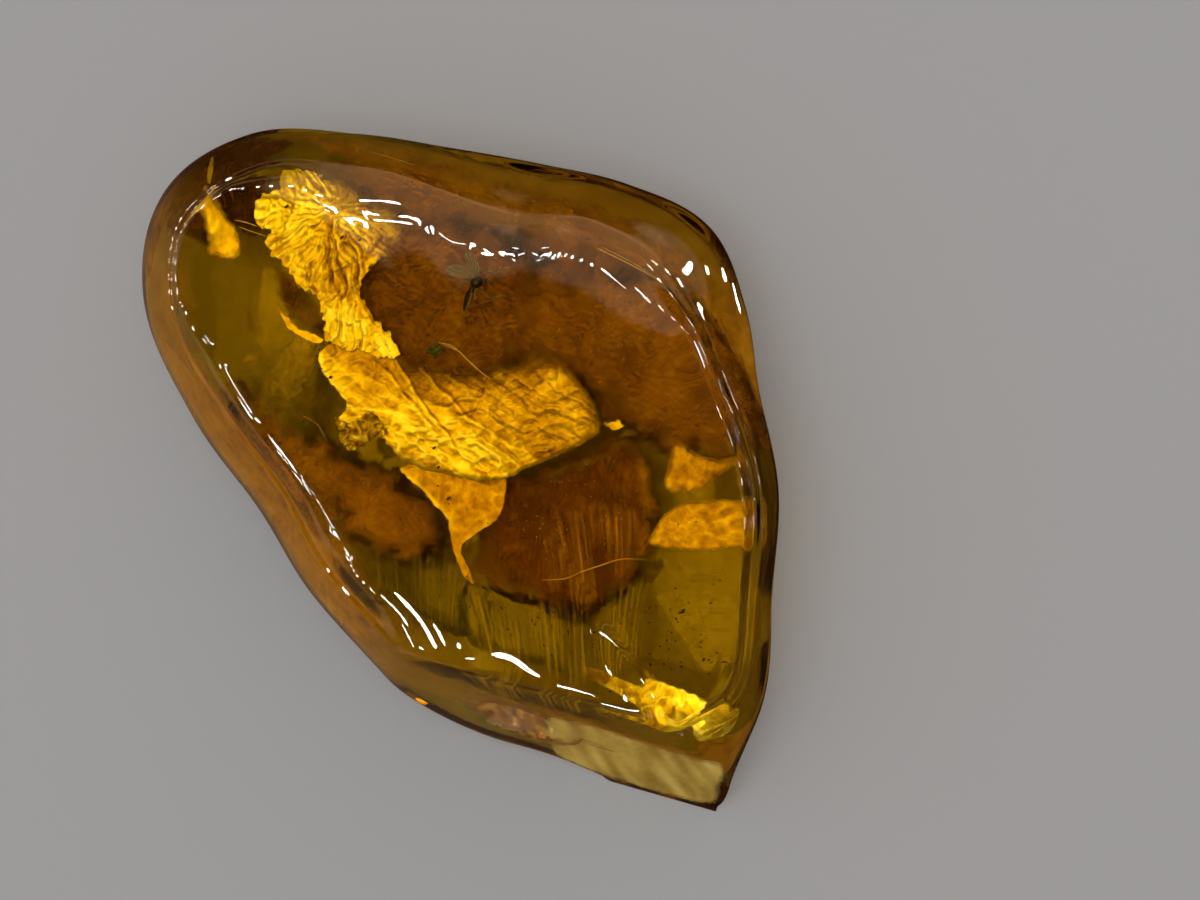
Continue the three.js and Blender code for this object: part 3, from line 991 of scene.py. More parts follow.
def coloured_by(tree, value, stops):
    """A colour ramp over a value: stops are (position, (red, green, blue))."""
    ramp = add_node(tree, "ShaderNodeValToRGB", {"Fac": value})
    elements = ramp.color_ramp.elements
    while len(elements) < len(stops):
        elements.new(0.5)
    for element, (position, colour) in zip(elements, stops):
        element.position = position
        element.color = (*colour, 1)
    return ramp.outputs["Color"]


def with_grain(tree, value, grain, share):
    """A value with a share of grain added, so that middling grain leaves it as it is."""
    added = maths(tree, "MULTIPLY_ADD", grain, share, value)
    return maths(tree, "SUBTRACT", added, 0.5 * share, clamp=True)


def amber_material():
    """Clear amber: plain transmission and absorption, matt in the chip."""
    material, tree, shader = new_material("clear_amber")
    broken = add_node(tree, "ShaderNodeMapRange", {"Value": point_value(tree, "broken"), "To Max": 0.5})
    set_inputs(tree, shader, {
        "Base Color": (1.0, 0.95, 0.8, 1), "Transmission Weight": 1.0, "IOR": 1.54,
        "Roughness": broken.outputs["Result"],
    })
    absorb = add_node(tree, "ShaderNodeVolumeAbsorption", {"Color": (0.87, 0.77, 0.0, 1), "Density": 290})
    set_inputs(tree, tree.nodes["Material Output"], {"Volume": absorb.outputs["Volume"]})
    return material


def crack_material():
    """The gold face of a crack: bright where its tone is high, deep orange where it is low."""
    material, tree, shader = new_material("gold_crack")
    mottle = place_mottle(tree, 2600, 9000)
    tone = with_grain(tree, point_value(tree, "tone"), mottle["Mask"], 0.26)
    colour = coloured_by(tree, tone, (
        (0.0, (0.20, 0.08, 0.003)), (0.28, (0.43, 0.215, 0.006)), (0.55, (0.72, 0.44, 0.012)),
        (0.8, (0.90, 0.65, 0.03)), (1.0, (1.0, 0.80, 0.14)),
    ))
    set_inputs(tree, shader, {
        "Base Color": colour, "Metallic": 0.75, "Roughness": 0.38,
        "Specular Tint": (1.0, 0.6, 0.1, 1), "Normal": bumped(tree, mottle["Creases"], 0.7, 0.05),
        "Alpha": point_value(tree, "cover"),
    })
    return material


def flow_material(name, stops):
    """Darker resin flow: threads of colour, thinning out where its cover falls."""
    material, tree, shader = new_material(name)
    mottle = place_mottle(tree, 1800, 7000)
    tone = with_grain(tree, point_value(tree, "tone"), mottle["Creases"], 0.3)
    set_inputs(tree, shader, {
        "Base Color": coloured_by(tree, tone, stops), "Roughness": 0.55, "Specular IOR Level": 0.1,
        "Normal": bumped(tree, mottle["Grain"], 0.6, 0.05), "Alpha": point_value(tree, "cover"),
    })
    return material


def chitin_material(name, dark, light, roughness):
    """Insect skin: dark with lighter blotches, a little glossy."""
    material, tree, shader = new_material(name)
    mottle = place_mottle(tree, 3500, 16000, 0.45)
    set_inputs(tree, shader, {
        "Base Color": mixed_colour(tree, mottle["Mask"], dark, light), "Roughness": roughness,
        "Normal": bumped(tree, mottle["Grain"], 0.5, 0.01),
    })
    return material


def wing_material():
    """A thin grey film."""
    material, tree, shader = new_material("gnat_wing")
    mottle = place_mottle(tree, 3000, 12000, 0.5, 2.5)
    colour = mixed_colour(tree, mottle["Mask"], (0.10, 0.10, 0.06), (0.30, 0.27, 0.18))
    set_inputs(tree, shader, {"Base Color": colour, "Roughness": 0.3, "Alpha": point_value(tree, "cover")})
    return material


def bubble_material():
    """A gas bubble: clear in the middle, with a shining gold wall where it is seen edge on."""
    material, tree, shader = new_material("bubble_wall")
    mottle = place_mottle(tree, 4000, 14000, 0.5, 2.0)
    edge = add_node(tree, "ShaderNodeLayerWeight", {"Blend": 0.35})
    wall = add_node(tree, "ShaderNodeMapRange", {
        "Value": edge.outputs["Facing"], "From Min": 0.3, "From Max": 0.8, "To Min": 0.06, "To Max": 0.75,
    })
    set_inputs(tree, shader, {
        "Base Color": mixed_colour(tree, mottle["Mask"], (0.7, 0.36, 0.05), (1.0, 0.75, 0.25)),
        "Metallic": 0.9, "Roughness": 0.25, "Alpha": wall.outputs["Result"],
    })
    return material


def grain_material(name, dark, light, roughness, metallic=0.0):
    """Specks, crumbs and threads."""
    material, tree, shader = new_material(name)
    mottle = place_mottle(tree, 5000, 20000)
    set_inputs(tree, shader, {
        "Base Color": mixed_colour(tree, mottle["Mask"], dark, light),
        "Roughness": roughness, "Metallic": metallic,
    })
    return material


def floor_material():
    """Plain pale grey, matt."""
    material, tree, shader = new_material("pale_floor")
    set_inputs(tree, shader, {"Base Color": (0.47, 0.47, 0.475, 1), "Roughness": 0.9})
    return material


# ------------------------------------------------------------------------------ floor, camera and lamps

FLOOR_REACH = 0.6  # metres from the middle to each side
FLOOR_GAP = 0.1 * MM  # between the floor and the resting face
RING_LAMPS = 96
LAMP_REACH = 0.09  # metres from the nugget's edge line to each lamp
LAMP_LENGTHS = (0.3 * MM, 7 * MM)  # least and most
LAMP_WIDTHS = (0.3 * MM, 5 * MM)
LAMP_POWER = 110  # watts for each metre of length and of width
LAMP_EVENNESS = 0.25  # how much the lamps keep to even spacing, and not to the turns of the edge
DASH_SHARE = 0.26  # how much of the spacing each mirrored dash fills
DASH_WIDTH = 0.24  # mm, how wide a mirrored dash looks
NO_LAMPS = (258, 293)  # degrees: the corner of the broken end, which shows no dashes
EDGE_EVENING = 7  # spokes to each side over which the edge line is averaged


def build_floor():
    near, far, z = -FLOOR_REACH, FLOOR_REACH, LOW.z - FLOOR_GAP
    mesh = bpy.data.meshes.new("floor")
    mesh.from_pydata([(near, near, z), (far, near, z), (far, far, z), (near, far, z)], [], [(0, 1, 2, 3)])
    mesh.materials.append(floor_material())
    floor = new_piece("floor", mesh)
    hide_from(floor, "glossy")


def build_camera():
    camera = bpy.data.objects.new("camera", bpy.data.cameras.new("camera"))
    SCENE.collection.objects.link(camera)
    camera.data.lens = 50
    camera.data.sensor_width = 36
    camera.data.clip_start = 0.005
    right = seen(math.cos(CAMERA_LEAN), 0, -math.sin(CAMERA_LEAN)).normalized()
    up = seen(0, 1, 0).normalized()
    back = right.cross(up)
    turn = Matrix((right, up, back)).transposed()
    camera.matrix_world = Matrix.Translation(CAMERA_PLACE) @ turn.to_4x4()
    SCENE.camera = camera


def hide_from(thing, *kinds):
    """Keeps a thing from being seen by some kinds of light ray."""
    for kind in kinds:
        setattr(thing, "visible_" + kind, False)


def area_light(name, place, aim, width, power):
    """A square lamp at a place in metres, turned to its aim."""
    light = bpy.data.objects.new(name, bpy.data.lights.new(name, "AREA"))
    SCENE.collection.objects.link(light)
    light.data.size = width
    light.data.energy = power
    light.location = place
    light.rotation_euler = (aim - place).to_track_quat("-Z", "Y").to_euler()
    return light


def edge_line(stone, shift=0.0):
    """Points and normals round the edge of the dome, shift mm outside it, one for each spoke."""
    mesh = stone.data
    first, last = (BASE_RINGS - 1) * SPOKES, len(mesh.vertices) - 2
    rings = []
    for source, label in ((mesh.vertices, "co"), (mesh.vertex_normals, "vector")):
        values = np.empty(len(source) * 3)
        source.foreach_get(label, values)
        rings.append(values.reshape(-1, 3)[first:last].reshape(-1, SPOKES, 3))
    spokes = np.arange(SPOKES)
    wanted = (around(DOME_LINE, spokes * 360 / SPOKES) + shift) * MM
    reach = np.hypot(rings[0][..., 0], rings[0][..., 1])
    beyond = reach > wanted
    ring = len(reach) - 1 - beyond[::-1].argmax(0)
    ring = np.minimum(ring, len(reach) - 2)
    share = (reach[ring, spokes] - wanted) / (reach[ring, spokes] - reach[ring + 1, spokes])
    share = np.clip(share, 0, 1)[:, None]
    found = []
    for values in rings:
        line = values[ring, spokes] * (1 - share) + values[ring + 1, spokes] * share
        shifts = range(-EDGE_EVENING, EDGE_EVENING + 1)
        found.append(sum(np.roll(line, k, axis=0) for k in shifts) / len(shifts))
    return found


def mirrored_places(points, normals):
    """Where lamps must stand for the camera to see them mirrored at the points."""
    normals = normals / np.linalg.norm(normals, axis=1)[:, None]
    sight = np.array(CAMERA_PLACE) - points
    sight = sight / np.linalg.norm(sight, axis=1)[:, None]
    bounce = 2 * (normals * sight).sum(1)[:, None] * normals - sight
    return points + bounce * LAMP_REACH


def within(value, limits):
    """A value kept between the least and the most that it may be."""
    return min(max(value, limits[0]), limits[1])


def build_ring_lamps(stone):
    """A ring of small lamps that the edge of the dome mirrors to the camera as a line of dashes."""
    points, normals = edge_line(stone)
    places = mirrored_places(points, normals)
    across = mirrored_places(*edge_line(stone, 0.5 * DASH_WIDTH))
    across = across - mirrored_places(*edge_line(stone, -0.5 * DASH_WIDTH))
    turn = np.unwrap(np.arctan2(normals[:, 1], normals[:, 0]))
    gone = np.abs(np.diff(turn, append=turn[0] + 2 * math.pi))
    gone = gone / gone.sum() + LAMP_EVENNESS / SPOKES
    marks = np.cumsum(gone) / gone.sum() * RING_LAMPS
    chosen = [int(np.searchsorted(marks, i + 0.5)) % SPOKES for i in range(RING_LAMPS)]
    for i, spoke in enumerate(chosen):
        if NO_LAMPS[0] < spoke * 360 / SPOKES < NO_LAMPS[1]:
            continue
        point, place = Vector(points[spoke]), Vector(places[spoke])
        along = Vector(places[chosen[(i + 1) % RING_LAMPS]] - places[chosen[i - 1]])
        length = within(0.5 * DASH_SHARE * along.length, LAMP_LENGTHS)
        width = within(np.linalg.norm(across[spoke]), LAMP_WIDTHS)
        lamp = area_light(f"ring_{i:02d}", place, point, length, LAMP_POWER * length * width)
        lamp.data.shape = "ELLIPSE"
        lamp.data.size_y = width
        back = (place - point).normalized()
        side = (along - back * along.dot(back)).normalized()
        lamp.rotation_euler = Matrix((side, back.cross(side), back)).transposed().to_euler()
        hide_from(lamp, "camera", "diffuse", "transmission")


def build_lights(stone):
    """One soft lamp overhead, a window at the left that only lights the amber, and the ring."""
    centre = Vector((0, 0, 0.006))
    overhead = area_light("overhead", seen(0, 0, 320), centre, 0.24, 0.3)
    hide_from(overhead, "glossy")
    window = area_light("window", seen(-95, 6, 290), centre, 0.15, 0.38)
    hide_from(window, "glossy", "diffuse")
    build_ring_lamps(stone)


# Bright parts of the room: seen azimuth, angle from the zenith, radius, softness, in degrees; strength
ROOM_PATCHES = [
    (76, 62, 30, 2, 1.1),
    (-163, 122, 34, 14, 0.2),
]
HORIZON = (88, 8, 0.7)  # angle from the zenith, half width, strength
ROOM_DARK = 0.012  # strength of the rest of the room
ROOM_TINT = (1.0, 0.62, 0.36)
WORLD_LIGHT = 0.42  # what lights the floor and the flakes
WORLD_THROUGH = 0.1  # added to it for what is seen through the amber
WHITE = (1.0, 1.0, 1.0)


def build_world():
    """Soft even light; what the polished surface mirrors is a dark room with a few bright patches."""
    world = bpy.data.worlds.new("soft_room")
    SCENE.world = world
    world.use_nodes = True
    tree = world.node_tree
    direction = add_node(tree, "ShaderNodeTexCoord").outputs["Generated"]

    def step(value, start, end, strength):
        node = add_node(tree, "ShaderNodeMapRange", interpolation_type="SMOOTHSTEP")
        set_inputs(tree, node, {"Value": value, "From Min": start, "From Max": end, "To Max": strength})
        return node.outputs["Result"]

    total = ROOM_DARK
    for azimuth, tilt, radius, softness, strength in ROOM_PATCHES:
        turn, lean = math.radians(azimuth), math.radians(tilt)
        way = seen(math.sin(lean) * math.cos(turn), math.sin(lean) * math.sin(turn), math.cos(lean))
        facing = add_node(tree, "ShaderNodeVectorMath", operation="DOT_PRODUCT")
        set_inputs(tree, facing, {0: direction, 1: way.normalized()})
        edge = [math.cos(math.radians(radius + k * softness)) for k in (1, -1)]
        total = maths(tree, "ADD", step(facing.outputs["Value"], *edge, strength), total)
    height = add_node(tree, "ShaderNodeSeparateXYZ", {"Vector": direction}).outputs["Z"]
    gap = maths(tree, "ABSOLUTE", maths(tree, "SUBTRACT", height, math.cos(math.radians(HORIZON[0]))))
    width = math.sin(math.radians(HORIZON[1]))
    total = maths(tree, "ADD", step(gap, width, 0.4 * width, HORIZON[2]), total)
    path = add_node(tree, "ShaderNodeLightPath").outputs
    through = path["Is Transmission Ray"]
    lighting = maths(tree, "MAXIMUM", path["Is Diffuse Ray"], path["Is Camera Ray"])
    lighting = maths(tree, "MAXIMUM", through, lighting)
    strength = add_node(tree, "ShaderNodeMix", {
        "Factor": lighting, "A": total,
        "B": maths(tree, "MULTIPLY_ADD", through, WORLD_THROUGH, WORLD_LIGHT),
    })
    set_inputs(tree, tree.nodes["Background"], {
        "Strength": strength.outputs["Result"], "Color": mixed_colour(tree, lighting, ROOM_TINT, WHITE),
    })


# ------------------------------------------------------------------------------ what is sealed inside

SKIN = 0.15 * MM  # between the surface and what lies right under it


def tuck_inside(names, stone):
    """Pulls what lies near the broken end back inside the stone, just under its skin."""
    skin = BVHTree.FromObject(stone, bpy.context.evaluated_depsgraph_get())
    for name in names:
        for vertex in bpy.data.objects[name].data.vertices:
            spot, outward, _, _ = skin.find_nearest(vertex.co)
            if (vertex.co - spot).dot(outward) > -SKIN:
                vertex.co = spot - outward * SKIN


def build_flakes():
    gold = crack_material()
    tongue_edge = [(-4.9, -2.0), (-3.3, -3.7), (-2.7, -4.4)]
    for name, outline, shape, ragged in (
        ("flake_fan", FAN, fan_shape, 0.26),
        ("flake_scroll", SCROLL, scroll_shape, 0.1),
        ("flake_sparkle", SPARKLE, sparkle_shape, 0.16),
        ("flake_tongue", TONGUE, plain_flake(5.6, 0.3, 3.3, 0.12, tongue_edge), 0.06),
        ("flake_wedge", WEDGE, plain_flake(6.0, 0.45, 7.0, 0.35), 0.14),
        ("flake_right_upper", RIGHT_UPPER, plain_flake(6.8, 0.16, 5.0, 0.45, slope=0.02, hinge=9), 0.16),
        ("flake_right_lower", RIGHT_LOWER, plain_flake(6.4, 0.24, 6.1, 0.3, slope=0.02, hinge=9), 0.06),
        ("flake_end_strip", END_STRIP, strip_shape, 0.08),
        ("flake_chip", CHIP_FLAKE, plain_flake(7.0, 0.45, 2.0, 0.1), 0.12),
        ("flake_corner_crack", CORNER_CRACK, plain_flake(6.0, 0.5, 1.0), 0.03),
        ("flake_sickle", SICKLE, plain_flake(6.4, 0.55, 4.0, 0.12), 0.16),
    ):
        piece = build_sheet(name, outline, shape, ragged=ragged, seed=len(name) * 1.7)
        settle(piece, gold)


def build_clouds():
    brown = flow_material("brown_flow", (
        (0.0, (0.07, 0.02, 0.002)), (0.3, (0.30, 0.105, 0.007)), (0.6, (0.64, 0.29, 0.018)),
        (1.0, (1.0, 0.62, 0.06)),
    ))
    olive = flow_material("olive_flow", (
        (0.0, (0.09, 0.065, 0.008)), (0.5, (0.48, 0.34, 0.03)), (1.0, (1.0, 0.74, 0.10)),
    ))
    disc_edge = [(6.3, -1.6), (6.6, -4.4), (6.2, -6.6)]
    left_edge = [(-14.5, 2.4), (-12.2, 2.2), (-11.2, 1.4)]
    for name, outline, shape, ragged in (
        ("cloud_upper", CLOUD_UPPER, cloud_shape(6.2, 1.0, 0.85, 1.3, 0.5, 0.2, -20), 0.4),
        ("cloud_upper_deep", CLOUD_UPPER, cloud_shape(4.2, 11.0, 0.7, 1.4, 0.45, 0.2, 40), 0.6),
        ("cloud_top", CLOUD_TOP, cloud_shape(5.0, 8.0, 0.65, 1.6, 0.58, 0.2, -25), 0.5),
        ("cloud_right", CLOUD_RIGHT, cloud_shape(5.6, 2.0, 0.75, 1.9, 0.6, 0.17, -30), 0.4),
        ("cloud_right_deep", CLOUD_RIGHT, cloud_shape(3.8, 12.0, 0.7, 1.7, 0.5, 0.2, 20), 0.6),
        ("cloud_disc", DISC, cloud_shape(4.4, 3.0, 0.85, 1.2, 0.45, 0.13, 80, disc_edge), 0.2),
        ("cloud_left", CLOUD_LEFT, cloud_shape(4.8, 4.0, 0.8, 1.5, 0.7, 0.16, -45, left_edge), 0.4),
        ("cloud_left_deep", CLOUD_LEFT, cloud_shape(3.2, 14.0, 0.6, 1.5, 0.6, 0.2, 10), 0.6),
        ("cloud_corner", CLOUD_CORNER, cloud_shape(4.6, 5.0, 0.92, 0.6, 0.12, 0.25, 40), 0.3),
        ("cloud_sickle", CLOUD_SICKLE, cloud_shape(6.0, 6.0, 0.8, 0.5, 0.35, 0.3, 70), 0.1),
    ):
        settle(build_sheet(name, outline, shape, 0.06, ragged), brown)
    for name, outline, shape, cell, ragged, material in (
        ("haze_left", HAZE_LEFT, haze_left_shape, 0.06, 0.4, olive),
        ("olive_mottle", OLIVE_WHOLE, olive_shape, 0.12, 0.3, olive),
        ("striae_disc", STRIAE_DISC, striae_shape(5.3, 0.6, 0.8, 96, 1.0), 0.05, 0.3, brown),
        ("striae_lower", STRIAE_LOWER, striae_shape(5.0, 0.75, 0.6, 92, 2.0), 0.05, 0.3, olive),
        ("striae_left", STRIAE_LEFT, striae_shape(5.0, 0.15, 0.5, 90, 3.0), 0.05, 0.3, olive),
    ):
        settle(build_sheet(name, outline, shape, cell, ragged), material)


def build_broken_end():
    """What lies right under the broken facet and the chip."""
    # Partly painted light: the pale haze under the facet is a frosted broken skin and also stands in for
    # the bright floor and light seen through the thin end.
    pale = flow_material("facet_haze_and_painted_light", (
        (0.0, (0.62, 0.42, 0.07)), (0.5, (0.95, 0.72, 0.22)), (1.0, (1.0, 0.92, 0.5)),
    ))
    crust = flow_material("chip_crust", (
        (0.0, (0.20, 0.06, 0.008)), (0.5, (0.66, 0.29, 0.04)), (1.0, (1.0, 0.70, 0.24)),
    ))
    streaky = cloud_shape(4.6, 9.0, 0.8, 0.6, 0.45, 0.3, -40)
    for name, outline, shape, cell, ragged, material in (
        ("facet_haze", FACET_HAZE, facet_haze_shape, 0.07, 0.1, pale),
        ("chip_crust", CHIP_CRUST, chip_shape, 0.05, 0.1, crust),
        ("break_flow", BREAK_FLOW, streaky, 0.06, 0.2, crust),
    ):
        settle(build_sheet(name, outline, shape, cell, ragged), material)


# Where a painted glow on the sides stands for light that has crossed the stone: frame degrees and how much
RIM_GLOW = [
    (0, 0.2), (20, 0.2), (45, 0.28), (78, 0.22), (95, 0.0), (112, 0.25), (130, 0.65), (160, 0.75),
    (188, 0.8), (201, 0.2), (232, 0.2), (248, 0.9), (285, 0.85), (325, 0.85),
]
GLOW_LEVEL = 5.0  # mm above the resting face
GLOW_MARGIN = 0.9  # mm from the widest line to the ring
GLOW_SPOKES, GLOW_RINGS = 360, 16


def build_rim_glow():
    """A soft level ring just inside the side of the stone, drawn in where the facet cuts it off; its colour
    is a painted glow that stands for light which has crossed the stone.
    """
    degrees = np.arange(GLOW_SPOKES) * 360 / GLOW_SPOKES
    angles = np.radians(degrees)
    outer = around(OUTLINE, degrees) - GLOW_MARGIN
    inner = np.minimum(around(DOME_LINE, degrees) - 0.4, outer - 1.0)
    steps = np.linspace(0, 1, GLOW_RINGS)
    reach = inner + (outer - inner) * steps[:, None]
    points = np.stack([reach * np.cos(angles), reach * np.sin(angles), 0 * reach + GLOW_LEVEL], 2)
    points = points.reshape(-1, 3)
    facing = points[:, :2] @ FACET_NORMAL[:2]
    limit = FACET_DISTANCE - 0.8 - GLOW_LEVEL * FACET_NORMAL[2]
    points[:, :2] *= np.where(facing > limit, limit / np.maximum(facing, 0.1), 1)[:, None]
    tone = 0.5 + layered(points[:, :2], (0.8, 3.0, 0.35), (3.0, 5.0, 0.3))
    strength = np.clip(around(RIM_GLOW, degrees), 0, 1)
    cover = strength * (fade(steps, 0, 0.35) * fade(steps, 1, 0.75))[:, None]
    grid = np.arange(GLOW_SPOKES * GLOW_RINGS).reshape(GLOW_RINGS, GLOW_SPOKES)
    after = np.roll(grid, -1, axis=1)
    quads = np.stack([grid[:-1], grid[1:], after[1:], after[:-1]], axis=-1).reshape(-1, 4)
    # Painted glow: the ring's golden colour stands for light that has crossed the stone, not for a colour
    # of the amber.
    gold = flow_material("painted_side_glow", (
        (0.0, (0.45, 0.20, 0.03)), (0.5, (0.80, 0.42, 0.06)), (1.0, (1.0, 0.65, 0.14)),
    ))
    sheet = add_sheet("rim_glow", (points * MM).tolist(), quads, tone, cover.ravel())
    settle(sheet, gold)


GNAT = (-1.1, 6.35, 8.3)  # the thorax's middle


def from_gnat(*offsets):
    """Stations (right, up, height, radius), given from the thorax's middle."""
    x, y, z = GNAT
    return [(x + right, y + up, z + height, radius) for right, up, height, radius in offsets]


def build_gnat():
    """A gnat of about two and a half millimetres, lying on its side with its wings folded back."""
    skin = chitin_material("gnat_skin", (0.003, 0.002, 0.002), (0.02, 0.012, 0.006), 0.35)
    x, y, z = GNAT
    body = Rods()
    body.bead(x, y, z, (0.34, 0.27, 0.27), 25, 10, 16)
    body.bead(x + 0.1, y + 0.12, z + 0.12, (0.2, 0.16, 0.16), 20, 8, 12)
    abdomen = from_gnat(
        (-0.12, -0.16, 0, 0.1), (-0.22, -0.32, -0.03, 0.17), (-0.3, -0.45, -0.05, 0.14),
        (-0.35, -0.53, -0.06, 0.185), (-0.41, -0.66, -0.08, 0.15), (-0.44, -0.74, -0.09, 0.175),
        (-0.49, -0.87, -0.11, 0.135), (-0.51, -0.94, -0.12, 0.15), (-0.55, -1.06, -0.14, 0.11),
        (-0.57, -1.12, -0.15, 0.12), (-0.6, -1.24, -0.17, 0.06), (-0.62, -1.32, -0.18, 0.02),
    )
    body.rod(abdomen, 14)
    body.bead(x + 0.36, y + 0.02, z - 0.04, (0.16, 0.19, 0.17), -20)
    mouth = from_gnat((0.46, -0.06, -0.1, 0.03), (0.53, -0.18, -0.16, 0.022), (0.55, -0.3, -0.2, 0.008))
    body.rod(mouth, 6)
    for side in (-1, 1):
        feeler = from_gnat(
            (0.47, 0.03 + 0.05 * side, 0.03, 0.028), (0.58, 0.1 + 0.11 * side, 0.06, 0.018),
            (0.72, 0.13 + 0.19 * side, 0.08, 0.014), (0.86, 0.12 + 0.27 * side, 0.07, 0.006),
        )
        body.rod(feeler, 6)
    settle(body.build("gnat_body"), skin)
    eyes = Rods()
    for side in (-1, 1):
        eyes.bead(x + 0.4, y + 0.02 + 0.11 * side, z + 0.04, (0.09, 0.08, 0.11), 10, 10, 14)
    red = chitin_material("gnat_eye", (0.10, 0.008, 0.004), (0.30, 0.04, 0.012), 0.2)
    settle(eyes.build("gnat_eyes"), red)
    build_legs()
    build_wings()


# The joints of each leg from the thorax's middle, (right, up), and their rises and radii
LEGS = (
    ((-0.02, -0.2), (0.38, -0.5), (0.62, -0.72), (1.22, -0.62), (1.46, -0.66)),
    ((-0.06, -0.22), (-0.02, -0.72), (-0.38, -1.1), (-0.1, -1.06), (1.2, -0.66)),
    ((-0.14, -0.2), (-0.34, -0.95), (-0.58, -1.52), (-0.82, -1.95), (-1.0, -2.35)),
    ((0.1, 0.22), (0.46, 0.5), (0.92, 0.42), (1.3, 0.62), (1.52, 0.6)),
    ((-0.06, 0.22), (-0.46, 0.62), (-1.02, 0.52), (-1.42, 0.36), (-1.6, 0.42)),
    ((-0.2, 0.12), (-0.72, 0.02), (-1.12, -0.42), (-1.3, -0.92), (-1.42, -1.1)),
)
LEG_RISES = ((0, 0.18, -0.12, -0.3, -0.34), (0, -0.1, -0.3, -0.45, -0.5))  # first three legs, others
LEG_RADII = (0.05, 0.058, 0.036, 0.022, 0.012)


def build_legs():
    """Six legs: four swelling limbs each, with a bead at each knee."""
    pale = chitin_material("gnat_legs", (0.05, 0.02, 0.006), (0.42, 0.24, 0.06), 0.4)
    legs = Rods()
    for number, route in enumerate(LEGS):
        rises = LEG_RISES[number // 3]
        joints = [np.array(GNAT) + (*spot, rise) for spot, rise in zip(route, rises)]
        for k in range(4):
            start, end = joints[k], joints[k + 1]
            thick, thin = LEG_RADII[k], LEG_RADII[k + 1]
            swelling = 1.25 if k == 1 else 1.0
            legs.rod([
                (*(start * (1 - share) + end * share), radius) for share, radius in (
                    (0, 0.7 * thick), (0.3, swelling * thick),
                    (0.7, swelling * (thick + thin) / 2), (1, 0.7 * thin),
                )
            ], 7, 4)
            if k:
                legs.bead(*start, (1.15 * thick, 1.15 * thick, 1.15 * thick), 0, 6, 8)
    settle(legs.build("gnat_legs"), pale)


def build_wings():
    """Two wings with their veins, folded back over the body."""
    film = wing_material()
    vein = chitin_material("gnat_veins", (0.07, 0.055, 0.035), (0.30, 0.26, 0.18), 0.4)
    x, y, z = GNAT
    for name, turn, size, rise in (("near", 166, 0.98, 0.3), ("far", 118, 0.8, 0.1)):
        angle, level = math.radians(turn), z + rise

        def spot(along, across):
            return (
                x + 0.1 + size * (along * math.cos(angle) - across * math.sin(angle)),
                y + 0.26 + size * (along * math.sin(angle) + across * math.cos(angle)),
            )

        def film_shape(spots, rim):
            ripple = crumple(spots, 1.6, 3.0, 3.0, 150)
            cover = 0.22 + 0.25 * ripple + 0.4 * np.exp(-rim / 0.04)
            return level + 0.03 * ripple, 0 * rim + 0.5, cover

        outline = [spot(*place) for place in (
            (0.0, 0.03), (0.35, 0.12), (0.8, 0.22), (1.3, 0.24), (1.62, 0.1), (1.66, -0.08),
            (1.4, -0.28), (0.9, -0.38), (0.4, -0.26), (0.08, -0.06),
        )]
        wing = build_sheet("gnat_wing_" + name, outline, film_shape, 0.03, 0.01, 0.008)
        settle(wing, film)
        veins = Rods()
        for route in (
            ((0.0, 0.02), (0.4, 0.13), (0.9, 0.225), (1.4, 0.21), (1.64, 0.04)),
            ((0.05, 0.0), (0.6, 0.08), (1.2, 0.1), (1.62, 0.02)),
            ((0.05, -0.02), (0.5, -0.06), (1.0, -0.05), (1.6, -0.14)),
            ((0.3, -0.05), (0.7, -0.2), (1.25, -0.34)),
            ((0.06, -0.04), (0.35, -0.2), (0.8, -0.36)),
            ((0.75, 0.09), (0.78, -0.05)),
        ):
            veins.rod([(*spot(*place), level + 0.03, 0.014) for place in route], 6, 4)
        settle(veins.build("gnat_veins_" + name), vein)


